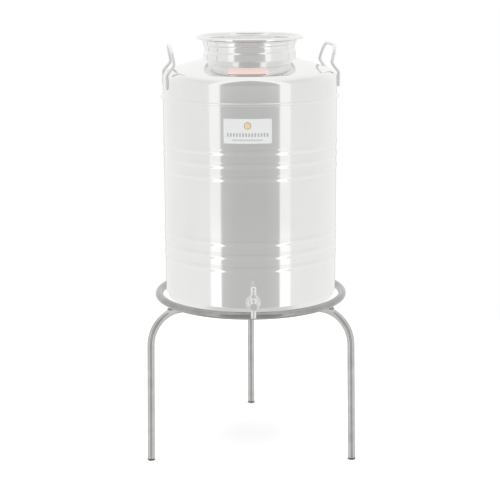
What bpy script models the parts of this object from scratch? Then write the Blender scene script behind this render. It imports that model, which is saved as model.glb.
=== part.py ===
"""Honey storage drum with a screw lid and a tap, standing in the ring of a three-legged tube stand.

Every dimension is in millimetres, measured from the drum's vertical axis and from the floor.
MM turns them into Blender's metres. The tap points to -Y, and +Z is up.
"""

import math

import bmesh
import bpy
from mathutils import Matrix, Vector

MM = 0.001
GAP = 0.3  # clearance between pieces that touch on the real object
RING_SEGMENTS = 40  # facets around the drum, the lid and the stand's ring
SMALL_SEGMENTS = 24  # facets around the tap's pieces
PORT_SEGMENTS = 14  # facets around the bores that cross the tap's plug
BAR_SIDES = 8  # facets around the handles' bar
STICKER_COLUMNS = 8
SHARP_EDGE = math.radians(35.0)
CUT_MARGIN = 5.0  # how far a cutter reaches past the piece it cuts

# Drum
DRUM_R = 185.0
SHEET = 0.8
DRUM_BOTTOM_Z = 335.3
WALL_BOTTOM_Z = 354.0
PAN_SKIRT_TOP_Z = 356.6
PAN_CORNER_R = 175.2
PAN_ROUNDING = 22.5
PAN_SKIRT_ROUNDING = 2.0
DRUM_SEAM_Z = 775.6
SEAM_R = 189.4
SEAM_HALF_HEIGHT = 2.9
SEAM_CHAMFER = 1.4
BEAD_HEIGHT = 1.2
BEAD_HALF_WIDTH = 8.0
BEAD_FLAT = 2.5
BEAD_ZS = (436.0, 463.2, 490.4, 625.4, 652.4, 679.4)
CONE_PLACE = (178.0, 829.0)  # radius and height of a place on the cone
SHOULDER_ROUNDING = 20.0
NECK_R = 97.4
NECK_BASE_Z = 853.8
NECK_BOTTOM_Z = 848.0
NECK_TOP_Z = 894.4
NECK_LIP_R = 100.8
NECK_LIP_HEIGHT = 2.8
NECK_LIP_FLARE = 1.0
NECK_UPPER_R = 98.4
THREAD_GROOVE_Z = (868.3, 871.5, 882.5, 885.7)  # lower edge, flat bottom of the groove, upper edge
THREAD_GROOVE_DEPTH = 2.0

# Lid
LID_RIM_R = 112.5
LID_RIM_EDGE_Z = 899.2  # top of the rim's upright outer edge
LID_RIM_CHAMFER = 0.6
LID_RIDGE_R = (108.8, 109.4)  # flat top of the rim
LID_RIDGE_FOOT_R = 106.3
LID_TOP_Z = 902.0
LID_WALL_R = 90.5
LID_FLOOR_Z = 874.0
LID_FLOOR_ROUNDING = 3.0
GASKET_INNER_R = 91.4
GASKET_OUTER_R = 100.2
GASKET_THICKNESS = 1.2

# Carrying handles, bent from round bar and welded to the shoulder's skirt
HANDLE_BAR_R = 3.5
HANDLE_CLEARANCE = 0.4
HANDLE_FOOT_SPREAD = 114.0
HANDLE_KNEE_SPREAD = 104.0
HANDLE_TOP_SPREAD = 92.0
HANDLE_FOOT_Z = 795.5
HANDLE_BEND_Z = 826.0
HANDLE_KNEE_Z = 845.0
HANDLE_TOP_Z = 881.5
HANDLE_BEND_R = 12.0
HANDLE_ARCH_R = 24.0
HANDLES = {  # turn in degrees, then the distances of the knees and of the top from the axis
    "handle_right": (11.5, 166.0, 176.5),
    "handle_left": (187.0, 164.0, 170.5),
}

# Label and strip
LABEL_WIDTH = 100.0
LABEL_Z = (698.0, 748.0)
LABEL_TURN = math.radians(-1.5)
STRIP_WIDTH = 79.0
STRIP_R = (129.0, 165.0)
STRIP_TURN = math.radians(-1.9)
STICKER_THICKNESS = 0.3

# Stand
TUBE_R = 8.0
TUBE_WALL = 1.5
TUBE_SIDES = 12
LEG_ANGLES = {"leg_front_left": 210.0, "leg_front_right": 330.0, "leg_back": 90.0}
LEG_TOP_Z = 327.0
LEG_BEND_R = 70.0
LEG_BEND_CENTRE_R = 175.7
LEG_SPLAY = math.radians(1.1)
HUB_R = 20.0
HUB_WALL = 2.0
HUB_Z = (316.0, 334.0)
RING_R = 200.85
RING_Z = 342.75
RING_WELD_R = 4.0
FOOT_PLUG_HEAD = 3.5
FOOT_PLUG_BULGE = 0.2
FOOT_PLUG_STEM_R = 5.7
FOOT_PLUG_TIP_R = 4.7
FOOT_PLUG_HEIGHT = 17.0

# Tap: distances named OUT run outwards from the drum's axis
TAP_TURN = math.radians(1.5)
TAP_Z = 368.0
TAP_BODY_R = 8.8
TAP_BODY_CHAMFER = 1.2
TAP_NECK_R = 7.8
TAP_BORE_R = 4.0
TAP_SHANK_R = 6.5
TAP_FLANGE_R = 15.5
TAP_HOLE_OUT = (175.0, 195.0)
TAP_INNER_OUT = 168.0
TAP_FLANGE_OUT = (187.6, 189.2)  # back of the flange, and front of its edge
TAP_FLANGE_RIM = (13.1, 191.3)  # radius and distance of the chamfer's end
TAP_FLANGE_FRONT_OUT = 196.0
TAP_BODY_STEP_OUT = (204.0, 206.0)
TAP_VALVE_OUT = 218.0
TAP_FRONT_OUT = 226.0
INLET_OVERRUN = 1.0
TAP_GASKET_R = 14.5
TAP_GASKET_OUT = (185.3, 187.3)
TAP_INNER_GASKET_R = 11.0
TAP_INNER_GASKET_OUT = (180.8, 182.8)
TAP_NUT_R = 11.5
TAP_NUT_OUT = (175.5, 180.5)
SPOUT_R = 5.25
SPOUT_BORE_R = 3.5
SPOUT_BOTTOM_Z = 343.0
COLLAR_R = 6.6
COLLAR_TAPER_Z = (357.5, 360.0)
COLLAR_TOP_Z = 388.0
COLLAR_CHAMFER = 1.0
PORT_START_OUT = 1.0
PLUG_R = 5.0
PLUG_BORE_R = 5.3
PLUG_SEAT_Z = 361.5
PLUG_STEM_R = 3.0
PLUG_STEM_TOP_Z = 406.2
SEAL_GROOVE_R = 4.0
SEAL_GROOVE_Z = (378.5, 381.5)
SEAL_R = (4.2, 5.1)
LEVER_BOSS_R = 6.1
LEVER_Z = (388.6, 396.4)
LEVER_LENGTH = 28.0
LEVER_TIP_WIDTH = 6.4
LEVER_ROOT_WIDTH = 8.4
LEVER_DROP = 3.0
LEVER_THICKNESS = 3.2
LEVER_CAP_R = 5.9
LEVER_CAP_TOP_Z = 410.2
LEVER_CAP_ROUNDING = ((0.0, 2.2), (0.8, 0.7), (2.6, 0.0))  # steps in from the side and down from the top

MATERIALS = {
    "polished_steel": ((0.86, 0.86, 0.85), 0.12, 1.0),
    "satin_tube": ((0.42, 0.44, 0.43), 0.34, 1.0),
    "foot_plastic": ((0.05, 0.04, 0.03), 0.55, 0.0),
    "gasket_silicone": ((0.88, 0.88, 0.86), 0.5, 0.0),
    "seal_rubber": ((0.03, 0.03, 0.03), 0.6, 0.0),
    "tap_chrome": ((0.80, 0.80, 0.80), 0.08, 1.0),
    "label_film": ((0.80, 0.86, 0.90), 0.45, 0.0),
    "strip_red": ((0.72, 0.10, 0.08), 0.4, 0.0),
}


def clear_scene():
    """Remove whatever the file was opened with."""
    for obj in list(bpy.data.objects):
        bpy.data.objects.remove(obj, do_unlink=True)


def make_materials():
    """One Principled material per finish."""
    made = {}
    for name, (colour, roughness, metallic) in MATERIALS.items():
        material = bpy.data.materials.new(name)
        material.use_nodes = True
        shader = material.node_tree.nodes["Principled BSDF"]
        shader.inputs["Base Color"].default_value = (*colour, 1.0)
        shader.inputs["Roughness"].default_value = roughness
        shader.inputs["Metallic"].default_value = metallic
        made[name] = material
    return made


def new_object(name, bm, material, parent=None):
    """Turn a bmesh in millimetres into a smooth-shaded object in metres."""
    bmesh.ops.recalc_face_normals(bm, faces=bm.faces)
    bmesh.ops.scale(bm, vec=(MM, MM, MM), verts=bm.verts)
    mesh = bpy.data.meshes.new(name)
    bm.to_mesh(mesh)
    bm.free()
    mesh.shade_smooth()
    mesh.set_sharp_from_angle(angle=SHARP_EDGE)
    mesh.materials.append(material)
    obj = bpy.data.objects.new(name, mesh)
    bpy.context.scene.collection.objects.link(obj)
    obj.parent = parent
    return obj


def new_empty(name, place, turn=0.0, parent=None):
    """An empty at a place in millimetres, turned about Z."""
    empty = bpy.data.objects.new(name, None)
    empty.location = Vector(place) * MM
    empty.rotation_euler = (0.0, 0.0, turn)
    bpy.context.scene.collection.objects.link(empty)
    empty.parent = parent
    return empty


def turned_mesh(profile, closed=True, segments=RING_SEGMENTS, start=0.0):
    """Spin an outline of (radius, height) points about Z. An open outline starts and ends on the axis."""
    bm = bmesh.new()
    corners = [bm.verts.new((radius, 0.0, height)) for radius, height in profile]
    edges = [bm.edges.new(pair) for pair in zip(corners, corners[1:])]
    if closed:
        edges.append(bm.edges.new((corners[-1], corners[0])))
    bmesh.ops.spin(
        bm,
        geom=corners + edges,
        cent=(0.0, 0.0, 0.0),
        axis=(0.0, 0.0, 1.0),
        angle=math.tau,
        steps=segments,
        use_merge=True,
    )
    bmesh.ops.remove_doubles(bm, verts=bm.verts, dist=1e-4)
    bmesh.ops.rotate(bm, matrix=Matrix.Rotation(start, 3, "Z"), verts=bm.verts)
    return bm


def lay_outwards(bm, height):
    """Tip a shape turned about Z so that its axis runs outwards along -Y at a height."""
    bmesh.ops.rotate(bm, matrix=Matrix.Rotation(math.pi / 2, 3, "X"), verts=bm.verts)
    bmesh.ops.translate(bm, vec=(0.0, 0.0, height), verts=bm.verts)
    return bm


def cut(obj, bm, name, parent):
    """Cut a hidden cutter out of an object."""
    cutter = new_object(name, bm, obj.data.materials[0], parent)
    cutter.hide_render = True
    cutter.display_type = "WIRE"
    modifier = obj.modifiers.new(name, "BOOLEAN")
    modifier.operation = "DIFFERENCE"
    modifier.solver = "EXACT"
    modifier.object = cutter


def fuse(obj, bm, name, parent):
    """Weld a hidden helper shape onto an object."""
    helper = new_object(name, bm, obj.data.materials[0], parent)
    helper.hide_render = True
    helper.display_type = "WIRE"
    modifier = obj.modifiers.new(name, "BOOLEAN")
    modifier.operation = "UNION"
    modifier.solver = "EXACT"
    modifier.object = helper


def rounded_path(corners, radii, steps=4):
    """A polyline whose inner corners are replaced by arcs of the radii given for them."""
    points = [Vector(corners[0])]
    for before, corner, after, radius in zip(corners, corners[1:], corners[2:], radii):
        corner = Vector(corner)
        back = (Vector(before) - corner).normalized()
        ahead = (Vector(after) - corner).normalized()
        half = back.angle(ahead) / 2
        reach = radius / math.tan(half)
        centre = corner + (back + ahead).normalized() * radius / math.sin(half)
        start = (corner + back * reach - centre).normalized()
        end = (corner + ahead * reach - centre).normalized()
        for step in range(steps + 1):
            points.append(centre + start.slerp(end, step / steps) * radius)
    points.append(Vector(corners[-1]))
    return points


def swept_rings(bm, path, radius, sides):
    """Rings of vertices square to a path, carried along it without twisting."""
    rings = []
    side = None
    for index, point in enumerate(path):
        ahead = path[min(index + 1, len(path) - 1)] - point
        behind = point - path[max(index - 1, 0)]
        tangent = (ahead.normalized() + behind.normalized()).normalized()
        if side is None:
            side = tangent.orthogonal()
        side = (side - tangent * side.dot(tangent)).normalized()
        across = tangent.cross(side)
        ring = []
        for step in range(sides):
            angle = math.tau * step / sides
            offset = side * math.cos(angle) + across * math.sin(angle)
            ring.append(bm.verts.new(point + offset * radius))
        rings.append(ring)
    return rings


def bridge(bm, first, second):
    """A band of faces between two rings."""
    count = len(first)
    for step in range(count):
        after = (step + 1) % count
        bm.faces.new((first[step], first[after], second[after], second[step]))


def bar_mesh(path, radius, sides):
    """A solid round bar along a path."""
    bm = bmesh.new()
    rings = swept_rings(bm, path, radius, sides)
    for first, second in zip(rings, rings[1:]):
        bridge(bm, first, second)
    bm.faces.new(rings[0])
    bm.faces.new(rings[-1])
    return bm


def tube_mesh(path, radius, wall, sides):
    """An open-ended tube along a path."""
    bm = bmesh.new()
    outer = swept_rings(bm, path, radius, sides)
    inner = swept_rings(bm, path, radius - wall, sides)
    for rings in (outer, inner):
        for first, second in zip(rings, rings[1:]):
            bridge(bm, first, second)
    bridge(bm, outer[0], inner[0])
    bridge(bm, outer[-1], inner[-1])
    return bm


def patch_mesh(low, high, half_width, thickness_vector):
    """A thin plate of even width wrapped round the axis between two (radius, height) rims, facing -Y."""
    bm = bmesh.new()
    step_r, step_z = thickness_vector
    face_low = (low[0] + step_r, low[1] + step_z)
    face_high = (high[0] + step_r, high[1] + step_z)
    rims = []
    for radius, height in (low, high, face_high, face_low):
        row = []
        for column in range(STICKER_COLUMNS + 1):
            angle = -math.pi / 2 + half_width / radius * (2.0 * column / STICKER_COLUMNS - 1.0)
            row.append(bm.verts.new((radius * math.cos(angle), radius * math.sin(angle), height)))
        rims.append(row)
    for this_row, next_row in zip(rims, rims[1:] + rims[:1]):
        for column in range(STICKER_COLUMNS):
            bm.faces.new((this_row[column], this_row[column + 1], next_row[column + 1], next_row[column]))
    for column in (0, STICKER_COLUMNS):
        bm.faces.new([row[column] for row in rims])
    return bm


def prism_mesh(outline, low_z, high_z):
    """An outline of (x, y) points raised between two heights."""
    bm = bmesh.new()
    face = bm.faces.new([bm.verts.new((x, y, low_z)) for x, y in outline])
    raised = bmesh.ops.extrude_face_region(bm, geom=[face])
    top = [item for item in raised["geom"] if isinstance(item, bmesh.types.BMVert)]
    bmesh.ops.translate(bm, vec=(0.0, 0.0, high_z - low_z), verts=top)
    return bm


def ring_outline(inner, outer, low, high):
    """The outline of a plain ring, or of a disc when the inner radius is 0."""
    return [(inner, low), (outer, low), (outer, high), (inner, high)]


def offset_sheet(outer, thickness):
    """Close an outline of a sheet by coming back along its inner side."""
    inner = []
    for index, (radius, height) in enumerate(outer):
        before = outer[max(index - 1, 0)]
        after = outer[min(index + 1, len(outer) - 1)]
        along = Vector((after[0] - before[0], after[1] - before[1])).normalized()
        inner.append((radius + along.y * thickness, height - along.x * thickness))
    return list(outer) + inner[::-1]


def make_stand(finishes, parent):
    """Ring, three bent legs, the hub that joins them, the ring's welds and the legs' end plugs."""
    tube = finishes["satin_tube"]
    butt_joint = GAP / RING_R
    ring_path = []
    for step in range(RING_SEGMENTS + 1):
        angle = math.pi / 2 + butt_joint + (math.tau - 2 * butt_joint) * step / RING_SEGMENTS
        ring_path.append(Vector((RING_R * math.cos(angle), RING_R * math.sin(angle), RING_Z)))
    new_object("stand_ring", tube_mesh(ring_path, TUBE_R, TUBE_WALL, TUBE_SIDES), tube, parent)

    hub = ring_outline(HUB_R - HUB_WALL, HUB_R, *HUB_Z)
    new_object("stand_hub", turned_mesh(hub, segments=SMALL_SEGMENTS), tube, parent)

    bend_centre_z = LEG_TOP_Z - LEG_BEND_R
    foot_z = FOOT_PLUG_HEAD + 2 * GAP
    bend_start_r = LEG_BEND_CENTRE_R + LEG_BEND_R * math.cos(LEG_SPLAY)
    bend_start_z = bend_centre_z + LEG_BEND_R * math.sin(LEG_SPLAY)
    foot_r = bend_start_r + (bend_start_z - foot_z) * math.tan(LEG_SPLAY)
    bend_steps = 8
    leg_path = [Vector((foot_r, 0.0, foot_z))]
    for step in range(bend_steps + 1):
        angle = LEG_SPLAY + (math.pi / 2 - LEG_SPLAY) * step / bend_steps
        radius = LEG_BEND_CENTRE_R + LEG_BEND_R * math.cos(angle)
        leg_path.append(Vector((radius, 0.0, bend_centre_z + LEG_BEND_R * math.sin(angle))))
    leg_path.append(Vector((HUB_R + GAP, 0.0, LEG_TOP_Z)))

    plug = [
        (0.0, 0.0),
        (TUBE_R, 0.0),
        (TUBE_R + FOOT_PLUG_BULGE, FOOT_PLUG_HEAD / 2),
        (TUBE_R, FOOT_PLUG_HEAD),
        (FOOT_PLUG_STEM_R, FOOT_PLUG_HEAD),
        (FOOT_PLUG_TIP_R, FOOT_PLUG_HEIGHT),
        (0.0, FOOT_PLUG_HEIGHT),
    ]
    to_ring = Vector((RING_R - LEG_BEND_CENTRE_R, RING_Z - bend_centre_z))
    weld_length = to_ring.length - LEG_BEND_R - 2 * TUBE_R - 2 * GAP
    weld_middle = to_ring.normalized() * (LEG_BEND_R + TUBE_R + GAP + weld_length / 2)
    weld_tilt = math.atan2(to_ring.x, to_ring.y)
    weld = ring_outline(0.0, RING_WELD_R, -weld_length / 2, weld_length / 2)

    for leg_name, degrees in LEG_ANGLES.items():
        side = leg_name.removeprefix("leg_")
        turn = math.radians(degrees)
        frame = new_empty(side + "_leg_frame", (0.0, 0.0, 0.0), turn, parent)
        new_object(leg_name, tube_mesh(leg_path, TUBE_R, TUBE_WALL, TUBE_SIDES), tube, frame)
        plug_bm = turned_mesh(plug, closed=False, segments=TUBE_SIDES)
        plug_obj = new_object("foot_plug_" + side, plug_bm, finishes["foot_plastic"], frame)
        plug_obj.location = Vector((foot_r, 0.0, 0.0)) * MM
        weld_obj = new_object("ring_weld_" + side, turned_mesh(weld, False, TUBE_SIDES), tube, frame)
        weld_place = Vector((LEG_BEND_CENTRE_R + weld_middle.x, 0.0, bend_centre_z + weld_middle.y))
        weld_obj.location = weld_place * MM
        weld_obj.rotation_euler = (0.0, weld_tilt, 0.0)


def wall_outline():
    """The wall's outer side from bottom to top, with a raised bead at each bead height."""
    points = [(DRUM_R, WALL_BOTTOM_Z)]
    for middle in BEAD_ZS:
        points.append((DRUM_R, middle - BEAD_HALF_WIDTH))
        points.append((DRUM_R + BEAD_HEIGHT, middle - BEAD_FLAT))
        points.append((DRUM_R + BEAD_HEIGHT, middle + BEAD_FLAT))
        points.append((DRUM_R, middle + BEAD_HALF_WIDTH))
    points.append((DRUM_R, DRUM_SEAM_Z - GAP))
    return points


def cone_slope():
    """How much the shoulder's cone rises for each millimetre inwards."""
    return (NECK_BASE_Z - CONE_PLACE[1]) / (CONE_PLACE[0] - NECK_R)


def cone_height(radius):
    """The height of the shoulder's cone at a radius."""
    return NECK_BASE_Z - (radius - NECK_R) * cone_slope()


def make_drum(finishes, parent):
    """Wall, bottom pan, shoulder with its rolled seam, and neck."""
    steel = finishes["polished_steel"]
    wall_in = [(radius - SHEET, height) for radius, height in wall_outline()]
    wall = new_object("tank_wall", turned_mesh(wall_outline() + wall_in[::-1]), steel, parent)
    hole = ring_outline(0.0, TAP_SHANK_R + GAP, *TAP_HOLE_OUT)
    hole_bm = lay_outwards(turned_mesh(hole, False, SMALL_SEGMENTS), TAP_Z)
    bmesh.ops.rotate(hole_bm, matrix=Matrix.Rotation(TAP_TURN, 3, "Z"), verts=hole_bm.verts)
    cut(wall, hole_bm, "tap_hole_cutter", parent)

    pan_r = DRUM_R - SHEET - GAP
    pan_path = [
        (0.0, 0.0, DRUM_BOTTOM_Z),
        (PAN_CORNER_R, 0.0, DRUM_BOTTOM_Z),
        (pan_r, 0.0, WALL_BOTTOM_Z),
        (pan_r, 0.0, PAN_SKIRT_TOP_Z),
    ]
    pan_outer = [(point.x, point.z) for point in rounded_path(pan_path, (PAN_ROUNDING, PAN_SKIRT_ROUNDING))]
    pan = offset_sheet(pan_outer, -SHEET)
    new_object("tank_bottom", turned_mesh(pan, closed=False), steel, parent)

    seam_low = DRUM_SEAM_Z - SEAM_HALF_HEIGHT
    seam_high = DRUM_SEAM_Z + SEAM_HALF_HEIGHT
    shoulder_path = [
        (DRUM_R, 0.0, seam_high),
        (DRUM_R, 0.0, cone_height(DRUM_R)),
        (NECK_R + GAP, 0.0, cone_height(NECK_R + GAP)),
    ]
    shoulder_outer = [(point.x, point.z) for point in rounded_path(shoulder_path, (SHOULDER_ROUNDING,))]
    shoulder = offset_sheet(shoulder_outer, -SHEET)
    shoulder[-1] = (DRUM_R - SHEET, DRUM_SEAM_Z)
    seam = [
        (DRUM_R + GAP, DRUM_SEAM_Z),
        (DRUM_R + GAP, seam_low),
        (SEAM_R - SEAM_CHAMFER, seam_low),
        (SEAM_R, seam_low + SEAM_CHAMFER),
        (SEAM_R, seam_high - SEAM_CHAMFER),
        (SEAM_R - SEAM_CHAMFER, seam_high),
    ]
    new_object("tank_shoulder", turned_mesh(shoulder + seam), steel, parent)

    lower_edge, flat_low, flat_high, upper_edge = THREAD_GROOVE_Z
    lip_low = NECK_TOP_Z - NECK_LIP_HEIGHT
    neck_outer = [
        (NECK_R, NECK_BOTTOM_Z),
        (NECK_R, lower_edge),
        (NECK_R - THREAD_GROOVE_DEPTH, flat_low),
        (NECK_R - THREAD_GROOVE_DEPTH, flat_high),
        (NECK_UPPER_R, upper_edge),
        (NECK_UPPER_R, lip_low - NECK_LIP_FLARE),
    ]
    neck_inner = [(radius - SHEET, height) for radius, height in neck_outer]
    lip = [(NECK_LIP_R, lip_low), (NECK_LIP_R, NECK_TOP_Z), (NECK_R, NECK_TOP_Z)]
    neck_outer += lip
    new_object("neck_collar", turned_mesh(neck_outer + neck_inner[::-1]), steel, parent)


def make_handle(name, finishes, parent):
    """One carrying handle: two feet welded to the skirt, kneed in over the shoulder, joined at the top."""
    degrees, knee_r, top_r = HANDLES[name]
    foot_half = HANDLE_FOOT_SPREAD / 2
    clear_of_wall = DRUM_R + HANDLE_CLEARANCE + HANDLE_BAR_R
    foot_r = math.sqrt(clear_of_wall**2 - foot_half**2)
    rising = [
        (foot_r, foot_half, HANDLE_FOOT_Z),
        (foot_r, foot_half, HANDLE_BEND_Z),
        (knee_r, HANDLE_KNEE_SPREAD / 2, HANDLE_KNEE_Z),
        (top_r, HANDLE_TOP_SPREAD / 2, HANDLE_TOP_Z),
    ]
    corners = rising + [(radius, -half, height) for radius, half, height in rising[::-1]]
    frame = new_empty(name + "_frame", (0.0, 0.0, 0.0), math.radians(degrees), parent)
    bends = (HANDLE_BEND_R, HANDLE_BEND_R, HANDLE_ARCH_R, HANDLE_ARCH_R, HANDLE_BEND_R, HANDLE_BEND_R)
    bar = bar_mesh(rounded_path(corners, bends), HANDLE_BAR_R, BAR_SIDES)
    new_object(name, bar, finishes["polished_steel"], frame)


def make_stickers(finishes, parent):
    """The plain label on the wall and the plain strip on the shoulder's cone."""
    label_frame = new_empty("label_frame", (0.0, 0.0, 0.0), LABEL_TURN, parent)
    label_r = DRUM_R + GAP
    label = patch_mesh(
        (label_r, LABEL_Z[0]),
        (label_r, LABEL_Z[1]),
        LABEL_WIDTH / 2,
        (STICKER_THICKNESS, 0.0),
    )
    new_object("front_label", label, finishes["label_film"], label_frame)

    tilt = math.atan(cone_slope())
    normal = (math.sin(tilt), math.cos(tilt))
    rims = []
    for radius in STRIP_R[::-1]:
        rims.append((radius + normal[0] * GAP, cone_height(radius) + normal[1] * GAP))
    strip_step = (normal[0] * STICKER_THICKNESS, normal[1] * STICKER_THICKNESS)
    strip_frame = new_empty("strip_frame", (0.0, 0.0, 0.0), STRIP_TURN, parent)
    strip = patch_mesh(rims[0], rims[1], STRIP_WIDTH / 2, strip_step)
    new_object("shoulder_strip", strip, finishes["strip_red"], strip_frame)


def make_lid(finishes, parent):
    """The dished lid with its rolled rim, and the gasket under its flange."""
    gasket_low = NECK_TOP_Z + GAP
    gasket_high = gasket_low + GASKET_THICKNESS
    gasket = ring_outline(GASKET_INNER_R, GASKET_OUTER_R, gasket_low, gasket_high)
    new_object("lid_gasket", turned_mesh(gasket), finishes["gasket_silicone"], parent)

    flange_z = gasket_high + GAP
    inner_rounding = LID_FLOOR_ROUNDING + SHEET / 2
    lid = [
        (0.0, LID_FLOOR_Z),
        (LID_WALL_R - LID_FLOOR_ROUNDING, LID_FLOOR_Z),
        (LID_WALL_R, LID_FLOOR_Z + LID_FLOOR_ROUNDING),
        (LID_WALL_R, flange_z),
        (LID_RIM_R - LID_RIM_CHAMFER, flange_z),
        (LID_RIM_R, flange_z + LID_RIM_CHAMFER),
        (LID_RIM_R, LID_RIM_EDGE_Z),
        (LID_RIDGE_R[1], LID_TOP_Z),
        (LID_RIDGE_R[0], LID_TOP_Z),
        (LID_RIDGE_FOOT_R, flange_z + SHEET),
        (LID_WALL_R - SHEET, flange_z + SHEET),
        (LID_WALL_R - SHEET, LID_FLOOR_Z + inner_rounding),
        (LID_WALL_R - inner_rounding, LID_FLOOR_Z + SHEET),
        (0.0, LID_FLOOR_Z + SHEET),
    ]
    lid_frame = new_empty("lid_axis", (0.0, 0.0, LID_FLOOR_Z), 0.0, parent)
    dish = turned_mesh(lid, closed=False)
    bmesh.ops.translate(dish, vec=(0.0, 0.0, -LID_FLOOR_Z), verts=dish.verts)
    new_object("lid_dish", dish, finishes["polished_steel"], lid_frame)


def make_tap(finishes, parent):
    """Tap body through the wall with its gaskets and lock nut, and the turning plug with its lever."""
    chrome = finishes["tap_chrome"]
    frame = new_empty("tap_frame", (0.0, 0.0, 0.0), TAP_TURN, parent)
    valve = Vector((0.0, -TAP_VALVE_OUT, 0.0))

    flange_back, flange_edge = TAP_FLANGE_OUT
    body = [
        (0.0, TAP_INNER_OUT),
        (TAP_SHANK_R, TAP_INNER_OUT),
        (TAP_SHANK_R, flange_back),
        (TAP_FLANGE_R, flange_back),
        (TAP_FLANGE_R, flange_edge),
        TAP_FLANGE_RIM,
        (TAP_NECK_R, TAP_FLANGE_FRONT_OUT),
        (TAP_NECK_R, TAP_BODY_STEP_OUT[0]),
        (TAP_BODY_R, TAP_BODY_STEP_OUT[1]),
        (TAP_BODY_R, TAP_FRONT_OUT - TAP_BODY_CHAMFER),
        (TAP_BODY_R - TAP_BODY_CHAMFER, TAP_FRONT_OUT),
        (0.0, TAP_FRONT_OUT),
    ]
    body_bm = lay_outwards(turned_mesh(body, False, SMALL_SEGMENTS), TAP_Z)
    body_obj = new_object("tap_body", body_bm, chrome, frame)

    upright = [
        (0.0, SPOUT_BOTTOM_Z),
        (SPOUT_R, SPOUT_BOTTOM_Z),
        (SPOUT_R, COLLAR_TAPER_Z[0]),
        (COLLAR_R, COLLAR_TAPER_Z[1]),
        (COLLAR_R, COLLAR_TOP_Z - COLLAR_CHAMFER),
        (COLLAR_R - COLLAR_CHAMFER, COLLAR_TOP_Z),
        (0.0, COLLAR_TOP_Z),
    ]
    upright_bm = turned_mesh(upright, False, SMALL_SEGMENTS, math.pi / SMALL_SEGMENTS)
    bmesh.ops.translate(upright_bm, vec=valve, verts=upright_bm.verts)
    fuse(body_obj, upright_bm, "tap_upright", frame)

    inlet = ring_outline(0.0, TAP_BORE_R, TAP_INNER_OUT - CUT_MARGIN, TAP_VALVE_OUT + INLET_OVERRUN)
    inlet_bm = lay_outwards(turned_mesh(inlet, False, PORT_SEGMENTS, math.pi / PORT_SEGMENTS), TAP_Z)
    cut(body_obj, inlet_bm, "tap_inlet_cutter", frame)
    plug_bore = [
        (0.0, SPOUT_BOTTOM_Z - CUT_MARGIN),
        (SPOUT_BORE_R, SPOUT_BOTTOM_Z - CUT_MARGIN),
        (SPOUT_BORE_R, PLUG_SEAT_Z),
        (PLUG_BORE_R, PLUG_SEAT_Z),
        (PLUG_BORE_R, COLLAR_TOP_Z + CUT_MARGIN),
        (0.0, COLLAR_TOP_Z + CUT_MARGIN),
    ]
    bore_bm = turned_mesh(plug_bore, False, SMALL_SEGMENTS, math.pi / SMALL_SEGMENTS)
    bmesh.ops.translate(bore_bm, vec=valve, verts=bore_bm.verts)
    cut(body_obj, bore_bm, "tap_plug_bore_cutter", frame)

    outer_gasket = ring_outline(TAP_SHANK_R + GAP, TAP_GASKET_R, *TAP_GASKET_OUT)
    gasket_bm = lay_outwards(turned_mesh(outer_gasket, segments=SMALL_SEGMENTS), TAP_Z)
    new_object("tap_outer_gasket", gasket_bm, finishes["gasket_silicone"], frame)
    inner_gasket = ring_outline(TAP_SHANK_R + GAP, TAP_INNER_GASKET_R, *TAP_INNER_GASKET_OUT)
    inner_bm = lay_outwards(turned_mesh(inner_gasket, segments=SMALL_SEGMENTS), TAP_Z)
    new_object("tap_inner_gasket", inner_bm, finishes["gasket_silicone"], frame)

    corners = []
    for step in range(6):
        angle = math.tau * step / 6
        corners.append((TAP_NUT_R * math.cos(angle), TAP_NUT_R * math.sin(angle)))
    nut = new_object("tap_lock_nut", lay_outwards(prism_mesh(corners, *TAP_NUT_OUT), TAP_Z), chrome, frame)
    nut_back, nut_front = TAP_NUT_OUT
    nut_hole = ring_outline(0.0, TAP_SHANK_R + GAP, nut_back - CUT_MARGIN, nut_front + CUT_MARGIN)
    nut_hole_bm = lay_outwards(turned_mesh(nut_hole, False, SMALL_SEGMENTS), TAP_Z)
    cut(nut, nut_hole_bm, "tap_nut_cutter", frame)

    make_valve(finishes, new_empty("tap_plug_axis", valve, 0.0, frame))


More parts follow.
